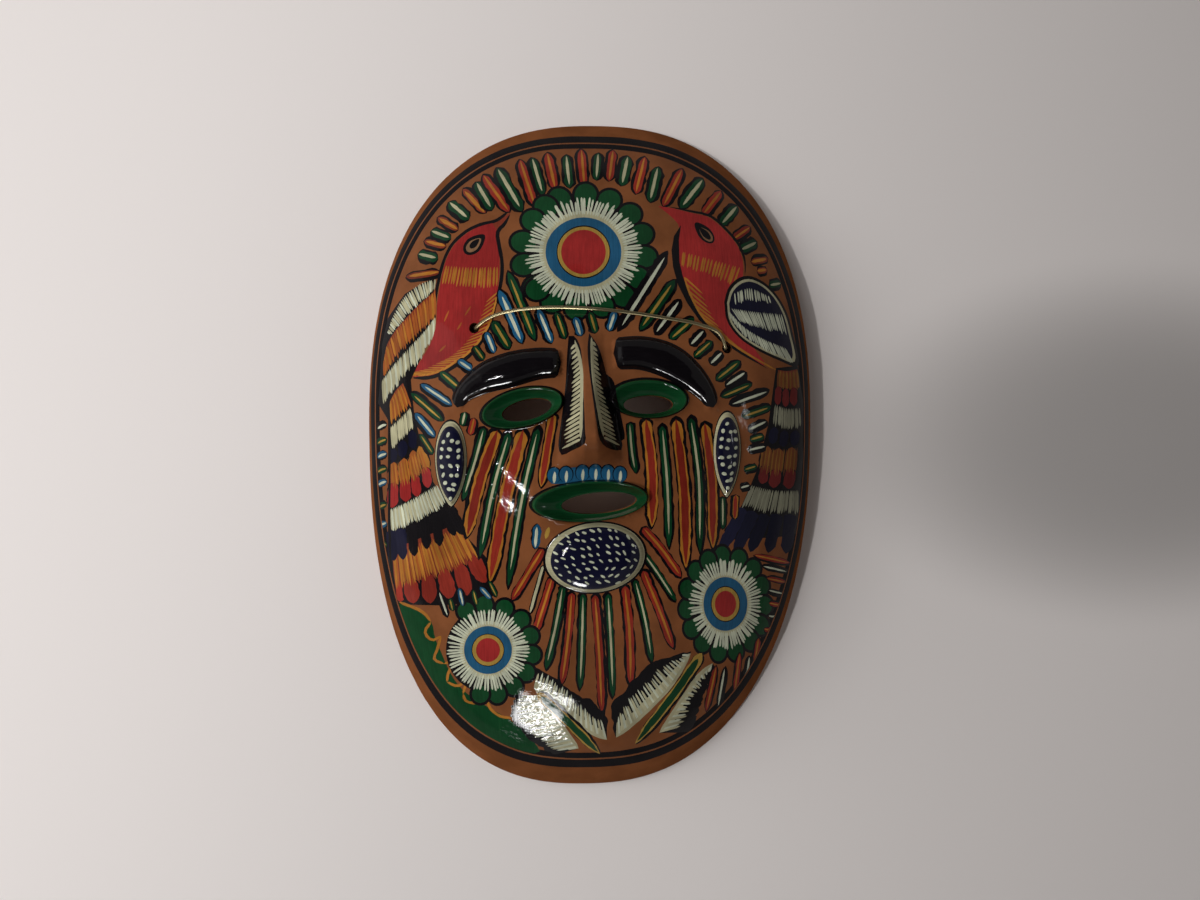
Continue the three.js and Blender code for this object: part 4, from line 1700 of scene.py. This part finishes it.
surfaceInputs = {
    "colour": "Base Color",
    "roughness": "Roughness",
    "metallic": "Metallic",
    "specular": "Specular IOR Level",
    "density": "IOR",
    "normal": "Normal",
}


class Shader:
    # A material and short ways to add nodes to it.

    def __init__(self, name):
        self.material = bpy.data.materials.new(name)
        self.material.use_nodes = True
        self.tree = self.material.node_tree
        self.main = self.tree.nodes["Principled BSDF"]

    def node(self, kind, settings=None, inputs=None):
        made = self.tree.nodes.new("ShaderNode" + kind)
        for key, value in (settings or {}).items():
            setattr(made, key, value)
        for key, value in (inputs or {}).items():
            self.put(made.inputs[key], value)
        return made

    def put(self, socket, value):
        if isinstance(value, Value):
            self.tree.links.new(value.socket, socket)
        elif isinstance(value, bpy.types.NodeSocket):
            self.tree.links.new(value, socket)
        else:
            socket.default_value = value

    def noise(self, place, scale, detail, rough):
        inputs = {"Vector": place, "Scale": scale, "Detail": detail, "Roughness": rough}
        return Value(self.tree, self.node("TexNoise", {}, inputs).outputs["Fac"])

    def bump(self, strength, distance, height):
        inputs = {"Strength": strength, "Distance": distance, "Height": height}
        return self.node("Bump", {}, inputs).outputs["Normal"]

    def grey(self, value):
        return self.node("CombineColor", {}, {0: value, 1: value, 2: value}).outputs[0]

    def surface(self, shader, **inputs):
        for key, value in inputs.items():
            self.put(shader.inputs[surfaceInputs[key]], value)

    def blend(self, share, first, second, kind="MIX"):
        made = self.node("Mix", {"data_type": "RGBA", "blend_type": kind})
        self.put(made.inputs[0], share)
        self.put(made.inputs[6], first)
        self.put(made.inputs[7], second)
        return made.outputs[2]


# A noise is its scale, detail and roughness: the bristles' scale is per millimetre of a stroke, the
# others' per metre. A bump is its strength and its depth in metres.
paint = {
    "coat": 0.36,
    "coatRoughness": 0.055,
    "streakContrast": 0.26,
    "clayContrast": 0.3,
    "waviness": 0.16,
    "ridges": 0.1,
    "crumbs": 1.6,
    "grain": 0.12,
    "swell": 0.25,
    "thinness": 0.3,
    "bristleStretch": (0.12, 1.7, 1.0),
    "bristleNoise": (1.0, 3.0, 0.6),
    "blotchNoise": (60.0, 4.0, 0.6),
    "speckleNoise": (900.0, 2.0, 0.6),
    "waveNoise": (420.0, 3.0, 0.6),
    "swellNoise": (110.0, 1.0, 0.4),
    "crumbNoise": (620.0, 1.0, 0.5),
    "thickVarnish": (1.25, 1.5),
    "reliefBump": (0.12, 0.0004),
    "coatBump": (0.5, 0.0006),
}


def paintedClay():
    s = Shader("painted clay")
    place = s.node("TexCoord").outputs["Object"]
    pigment = s.node("Attribute", {"attribute_name": "pigment"})
    brush = s.node("Attribute", {"attribute_name": "brush"}).outputs["Vector"]
    varnish = Value(s.tree, pigment.outputs["Alpha"])

    # Bristle marks run along each stroke; the paint is thin where they are deep
    stretch = {0: brush, 1: paint["bristleStretch"]}
    stretched = s.node("VectorMath", {"operation": "MULTIPLY"}, stretch).outputs[0]
    bristles = s.noise(stretched, *paint["bristleNoise"])
    blotches = s.noise(place, *paint["blotchNoise"])
    speckle = s.noise(place, *paint["speckleNoise"])
    streak = bristles.between(0.3, 0.7) * paint["streakContrast"] + (1 - paint["streakContrast"] / 2)
    mottle = blotches.between(0.3, 0.7) * paint["clayContrast"] + (1 - paint["clayContrast"] / 2)
    toned = s.blend(1.0, pigment.outputs["Color"], s.grey(streak * mottle), "MULTIPLY")
    thin = (bristles.between(0.68, 0.86) * blotches.between(0.45, 0.7)) * paint["thinness"]

    # The clay is grainy, the strokes stand up a little, and the varnish lies over both in waves
    waves = s.noise(place, *paint["waveNoise"])
    swell = s.noise(place, *paint["swellNoise"])
    crumbs = s.noise(place, *paint["crumbNoise"])
    thick = varnish.between(*paint["thickVarnish"]) * paint["crumbs"]
    coat = waves * paint["waviness"] + swell * paint["swell"]
    coat = coat + bristles * paint["ridges"] + crumbs * thick
    worn = s.blend(thin, toned, (*colours["clay"], 1))
    s.surface(
        s.main,
        colour=worn,
        roughness=bristles * 0.2 + 0.45,
        specular=0.0,
        normal=s.bump(*paint["reliefBump"], bristles * 0.5 + speckle * paint["grain"]),
    )

    # The varnished paint is a glossy surface, mixed with the matt one by the varnish's thickness
    glossy = s.node("BsdfPrincipled")
    s.surface(
        glossy,
        colour=worn,
        roughness=paint["coatRoughness"],
        specular=0.5,
        density=1.5,
        normal=s.bump(*paint["coatBump"], coat),
    )
    sides = {0: varnish * paint["coat"], 1: s.main.outputs[0], 2: glossy.outputs[0]}
    mixed = s.node("MixShader", {}, sides).outputs[0]
    s.put(s.tree.nodes["Material Output"].inputs["Surface"], mixed)
    return s.material


fired = {
    "lighter": 1.25,
    "darker": 0.7,
    "roughness": 0.62,
    "roughnessRange": 0.2,
    "specular": 0.04,
    "blotchNoise": (45.0, 5.0, 0.6),
    "speckleNoise": (700.0, 3.0, 0.6),
    "speckleHeight": 0.3,
    "bump": (0.4, 0.0005),
}


def bareClay():
    s = Shader("bare clay")
    place = s.node("TexCoord").outputs["Object"]
    blotches = s.noise(place, *fired["blotchNoise"])
    speckle = s.noise(place, *fired["speckleNoise"])
    light = (*[c * fired["lighter"] for c in colours["clay"]], 1)
    dark = (*[c * fired["darker"] for c in colours["clay"]], 1)
    s.surface(
        s.main,
        colour=s.blend(blotches.between(0.35, 0.68), dark, light),
        roughness=speckle * fired["roughnessRange"] + fired["roughness"],
        specular=fired["specular"],
        normal=s.bump(*fired["bump"], blotches + speckle * fired["speckleHeight"]),
    )
    return s.material


def brass():
    s = Shader("brass wire")
    s.surface(s.main, colour=(*wire["tone"], 1), metallic=1.0, roughness=wire["roughness"])
    return s.material


def shapeCorners(made):
    # The colour and the brush's way for every face corner.
    bare = np.array([*colours["clay"], 0.0])
    shapes = painting.shapes
    tones = np.array([[*shape["tone"], shape["varnish"]] for shape in shapes] + [bare, bare])
    ways = np.array([[*shape["way"], shape["seed"]] for shape in shapes] + [(0, 0, 5), (0, 0, 5)])
    marks = np.repeat(np.array(made.marks), [len(face) for face in made.faces])
    index = np.where(marks >= 0, marks, len(shapes))
    spots = np.array(made.flats)
    tone = tones[index]
    way = ways[index]
    along = spots[:, 0] * way[:, 0] + spots[:, 1] * way[:, 1]
    across = -spots[:, 0] * way[:, 1] + spots[:, 1] * way[:, 0]
    return tone, np.stack([along, across, way[:, 2]], axis=-1), spots


maskMesh = makeMesh("mask", body, [paintedClay(), bareClay()])
bareFaces = np.array([int(mark == bareMark) for mark in body.marks])
maskMesh.polygons.foreach_set("material_index", bareFaces)
tone, brush, spots = shapeCorners(body)
mark = maskMesh.color_attributes.new("pigment", "FLOAT_COLOR", "CORNER")
mark.data.foreach_set("color", tone.astype(np.float32).ravel())
mark = maskMesh.attributes.new("brush", "FLOAT_VECTOR", "CORNER")
mark.data.foreach_set("vector", brush.astype(np.float32).ravel())
layer = maskMesh.uv_layers.new(name="OFBake")
scaled = (spots + np.array(flatMap["corner"])) / flatMap["size"]
layer.uv.foreach_set("vector", scaled.astype(np.float32).ravel())
maskMesh.normals_split_custom_set([tuple(n) for n in body.normals])
mask = bpy.data.objects.new("mask", maskMesh)
bpy.context.scene.collection.objects.link(mask)
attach(mask, "root")
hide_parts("mask")
print("mask", len(maskMesh.polygons), "faces")

# Of each place of the bend: its share of the way between the holes, and its rise up the forehead
wire = {
    "diameter": 1.3,
    "lift": 2.2,
    "tail": 15.0,
    "tailRise": 0.25,
    "clearance": 0.7,
    "bend": [(0.05, 3.4), (0.12, 6), (0.25, 8.2), (0.42, 9.2), (0.6, 9), (0.76, 8.2), (0.89, 7.3), (0.97, 5)],
    "steps": 160,
    "tone": (0.27, 0.23, 0.13),
    "roughness": 0.4,
}


def hollowAt(x, y):
    # The height of the hollow's own surface under the clay
    angle, distance = polar(x, y)
    share = np.minimum(distance / (reachAt(angle) - form["wall"]), 1)
    return mix(form["rimRounding"], form["domeHeight"] - form["wall"], fallAt(angle, share))


def upright(heightAt, x, y, gap):
    # The gap measured upright that leaves this gap square to the slope
    step = 0.5
    slopeX = (heightAt(x + step, y) - heightAt(x - step, y)) / (2 * step)
    slopeY = (heightAt(x, y + step) - heightAt(x, y - step)) / (2 * step)
    return gap * math.sqrt(1 + float(slopeX) ** 2 + float(slopeY) ** 2)


def wireRoute():
    (lx, ly), (rx, ry) = holes
    clear = wire["diameter"] / 2 + wire["clearance"]
    lean = wire["diameter"] / 2
    out = []

    def tail(x, y, side, share):
        px = x + side * wire["tail"] * share
        py = y + wire["tail"] * wire["tailRise"] * share
        return (px, py, float(hollowAt(px, py)) - upright(hollowAt, px, py, clear))

    def through(x, y, side):
        px = x - side * lean
        low = float(hollowAt(px, y)) + form["wall"] / 3
        return [(px, y, low), (px, y, float(domeAt(px, y)))]

    out.extend(tail(lx, ly, -1, share) for share in (1, 0.66, 0.32, 0.1))
    out.extend(through(lx, ly, -1))
    for share, rise in wire["bend"]:
        px = mix(lx + lean, rx - lean, share)
        py = mix(ly, ry, share) + rise
        top = float(domeAt(px, py)) + upright(domeAt, px, py, clear)
        out.append((px, py, top + wire["lift"] * math.sin(math.pi * share) ** 0.5))
    out.extend(reversed(through(rx, ry, 1)))
    out.extend(tail(rx, ry, 1, share) for share in (0.1, 0.32, 0.66, 1))
    return out


def makeWire():
    line = smoothLine(wireRoute(), wire["steps"])
    curve = bpy.data.curves.new("hanging_wire", "CURVE")
    curve.dimensions = "3D"
    spline = curve.splines.new("POLY")
    spline.points.add(len(line) - 1)
    for point, place in zip(spline.points, line):
        point.co = (*(place * metre), 1)
    curve.bevel_depth = wire["diameter"] / 2 * metre
    curve.bevel_resolution = 3
    curve.use_fill_caps = True
    made = bpy.data.objects.new("hanging_wire", curve)
    bpy.context.scene.collection.objects.link(made)
    bpy.context.view_layer.objects.active = made
    made.select_set(True)
    bpy.ops.object.convert(target="MESH")
    bpy.ops.object.shade_smooth()
    made.data.materials.clear()
    made.data.materials.append(brass())
    made.select_set(False)
    return made


hangingWire = makeWire()
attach(hangingWire, "root")
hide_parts("hanging_wire")
print("wire ready")

# The table's colour is painted darker towards the right and at the front, as painted light falloff, and most
# of all in one painted soft shadow on the right
table = {
    "size": 6.0,
    "tone": (0.93, 0.87, 0.845),
    "shadeAt": (0.24, 0.005),
    "shadeReach": (0.145, 0.085),
    "shade": 0.46,
    "slope": 0.15,
    "farSlope": 0.16,
    "nearSlope": 0.12,
    "roughness": 0.9,
    "specular": 0.1,
}


def makeTable():
    bpy.ops.mesh.primitive_plane_add(size=table["size"], location=(0, 0, 0))
    floor = bpy.context.object
    floor.name = "table"
    s = Shader("pale table")
    place = s.node("TexCoord").outputs["Object"]
    axes = s.node("SeparateXYZ", {}, {0: place})
    x = Value(s.tree, axes.outputs[0])
    y = Value(s.tree, axes.outputs[1])
    (cx, cy), (wide, tall) = table["shadeAt"], table["shadeReach"]
    # Painted shadow and painted light falloff, multiplied into the table's colour
    off = ((x - cx) * (1 / wide)).power(2) + ((y - cy) * (1 / tall)).power(2)
    dark = (1 - off.between(0.0, 1.0)) * table["shade"]
    far = y.between(-0.3, 0.25)
    slope = x.between(-0.2, 0.4) * (far * table["farSlope"] + table["slope"])
    front = (1 - far) * x.between(-0.35, 0.0) * table["nearSlope"]
    keep = (1 - dark) * (1 - slope) * (1 - front)
    tone = s.blend(1.0, (*table["tone"], 1), s.grey(keep), "MULTIPLY")
    s.surface(s.main, colour=tone, roughness=table["roughness"], specular=table["specular"])
    floor.data.materials.append(s.material)


makeTable()


def areaLight(name, place, aim, size, power, seenBy):
    light = bpy.data.lights.new(name, "AREA")
    light.shape = "RECTANGLE"
    light.size, light.size_y = size
    light.energy = power
    made = bpy.data.objects.new(name, light)
    made.location = place
    way = Vector(aim) - Vector(place)
    made.rotation_euler = way.to_track_quat("-Z", "Y").to_euler()
    made.visible_diffuse = seenBy != "varnish"
    made.visible_glossy = seenBy != "ground"
    bpy.context.scene.collection.objects.link(made)


# Each light's way is its bearing and elevation in degrees and its distance in metres. The glare is
# only a reflection in the varnish, and the broad lights leave no reflection in it.
lights = {
    "lamp": {"way": (-161, 63, 1.05), "size": (0.045, 0.022), "power": 2.6, "on": "all"},
    "soft": {"way": (165, 50, 1.3), "size": (1.0, 0.9), "power": 7.2, "on": "ground"},
    "window": {"way": (160, 24, 2.2), "size": (1.3, 0.9), "power": 7.6, "on": "ground"},
    "gleam": {"way": (172, 24, 2.2), "size": (1.3, 0.9), "power": 2.2, "on": "varnish"},
    "glare": {"way": (-101, 12, 1.25), "size": (0.24, 0.34), "power": 15.0, "on": "varnish"},
    "side": {"way": (0, 28, 1.2), "size": (0.05, 0.05), "power": 0.3, "on": "varnish"},
}
lightAim = (0, 0, 0.03)
for name, light in lights.items():
    bearing, elevation, distance = light["way"]
    turn = math.radians(bearing)
    rise = math.radians(elevation)
    way = Vector((math.cos(turn) * math.cos(rise), math.sin(turn) * math.cos(rise), math.sin(rise)))
    areaLight(name, way * distance, lightAim, light["size"], light["power"], light["on"])

# A weak lamp in the hollow stands for the warm light that the clay throws back inside it
hollow = {"power": 0.0016, "tone": (1.0, 0.72, 0.58), "radius": 0.01, "place": (0.0, 0.0, 0.02)}
hollowLight = bpy.data.lights.new("hollow", "POINT")
hollowLight.energy = hollow["power"]
hollowLight.color = hollow["tone"]
hollowLight.shadow_soft_size = hollow["radius"]
hollowLamp = bpy.data.objects.new("hollow", hollowLight)
hollowLamp.location = hollow["place"]
bpy.context.scene.collection.objects.link(hollowLamp)

sky = {"tone": (1.0, 0.97, 0.94), "strength": 0.26}
ceiling = {"size": 2.6, "height": 1.5, "tone": (0.02, 0.02, 0.02), "roughness": 1.0}


def makeCeiling():
    # What stands dark over the table, so that the varnish shows no bright sky from above
    bpy.ops.mesh.primitive_plane_add(size=ceiling["size"], location=(0, 0, ceiling["height"]))
    made = bpy.context.object
    made.name = "ceiling"
    s = Shader("dark ceiling")
    s.surface(s.main, colour=(*ceiling["tone"], 1), roughness=ceiling["roughness"])
    made.data.materials.append(s.material)


makeCeiling()
world = bpy.data.worlds.new("room")
world.use_nodes = True
background = world.node_tree.nodes["Background"].inputs
background["Color"].default_value = (*sky["tone"], 1)
background["Strength"].default_value = sky["strength"]
bpy.context.scene.world = world

camera = bpy.data.cameras.new("camera")
camera.lens = eye["lens"]
camera.sensor_width = eye["sensor"]
camera.clip_start = 0.01
cameraPiece = bpy.data.objects.new("camera", camera)
cameraPiece.location = Vector(eye["place"] * metre)
ahead, right, up = cameraAxes()
cameraPiece.rotation_euler = Matrix((right, up, -ahead)).transposed().to_euler()
bpy.context.scene.collection.objects.link(cameraPiece)
bpy.context.scene.camera = cameraPiece
bpy.context.scene.view_settings.view_transform = "Standard"
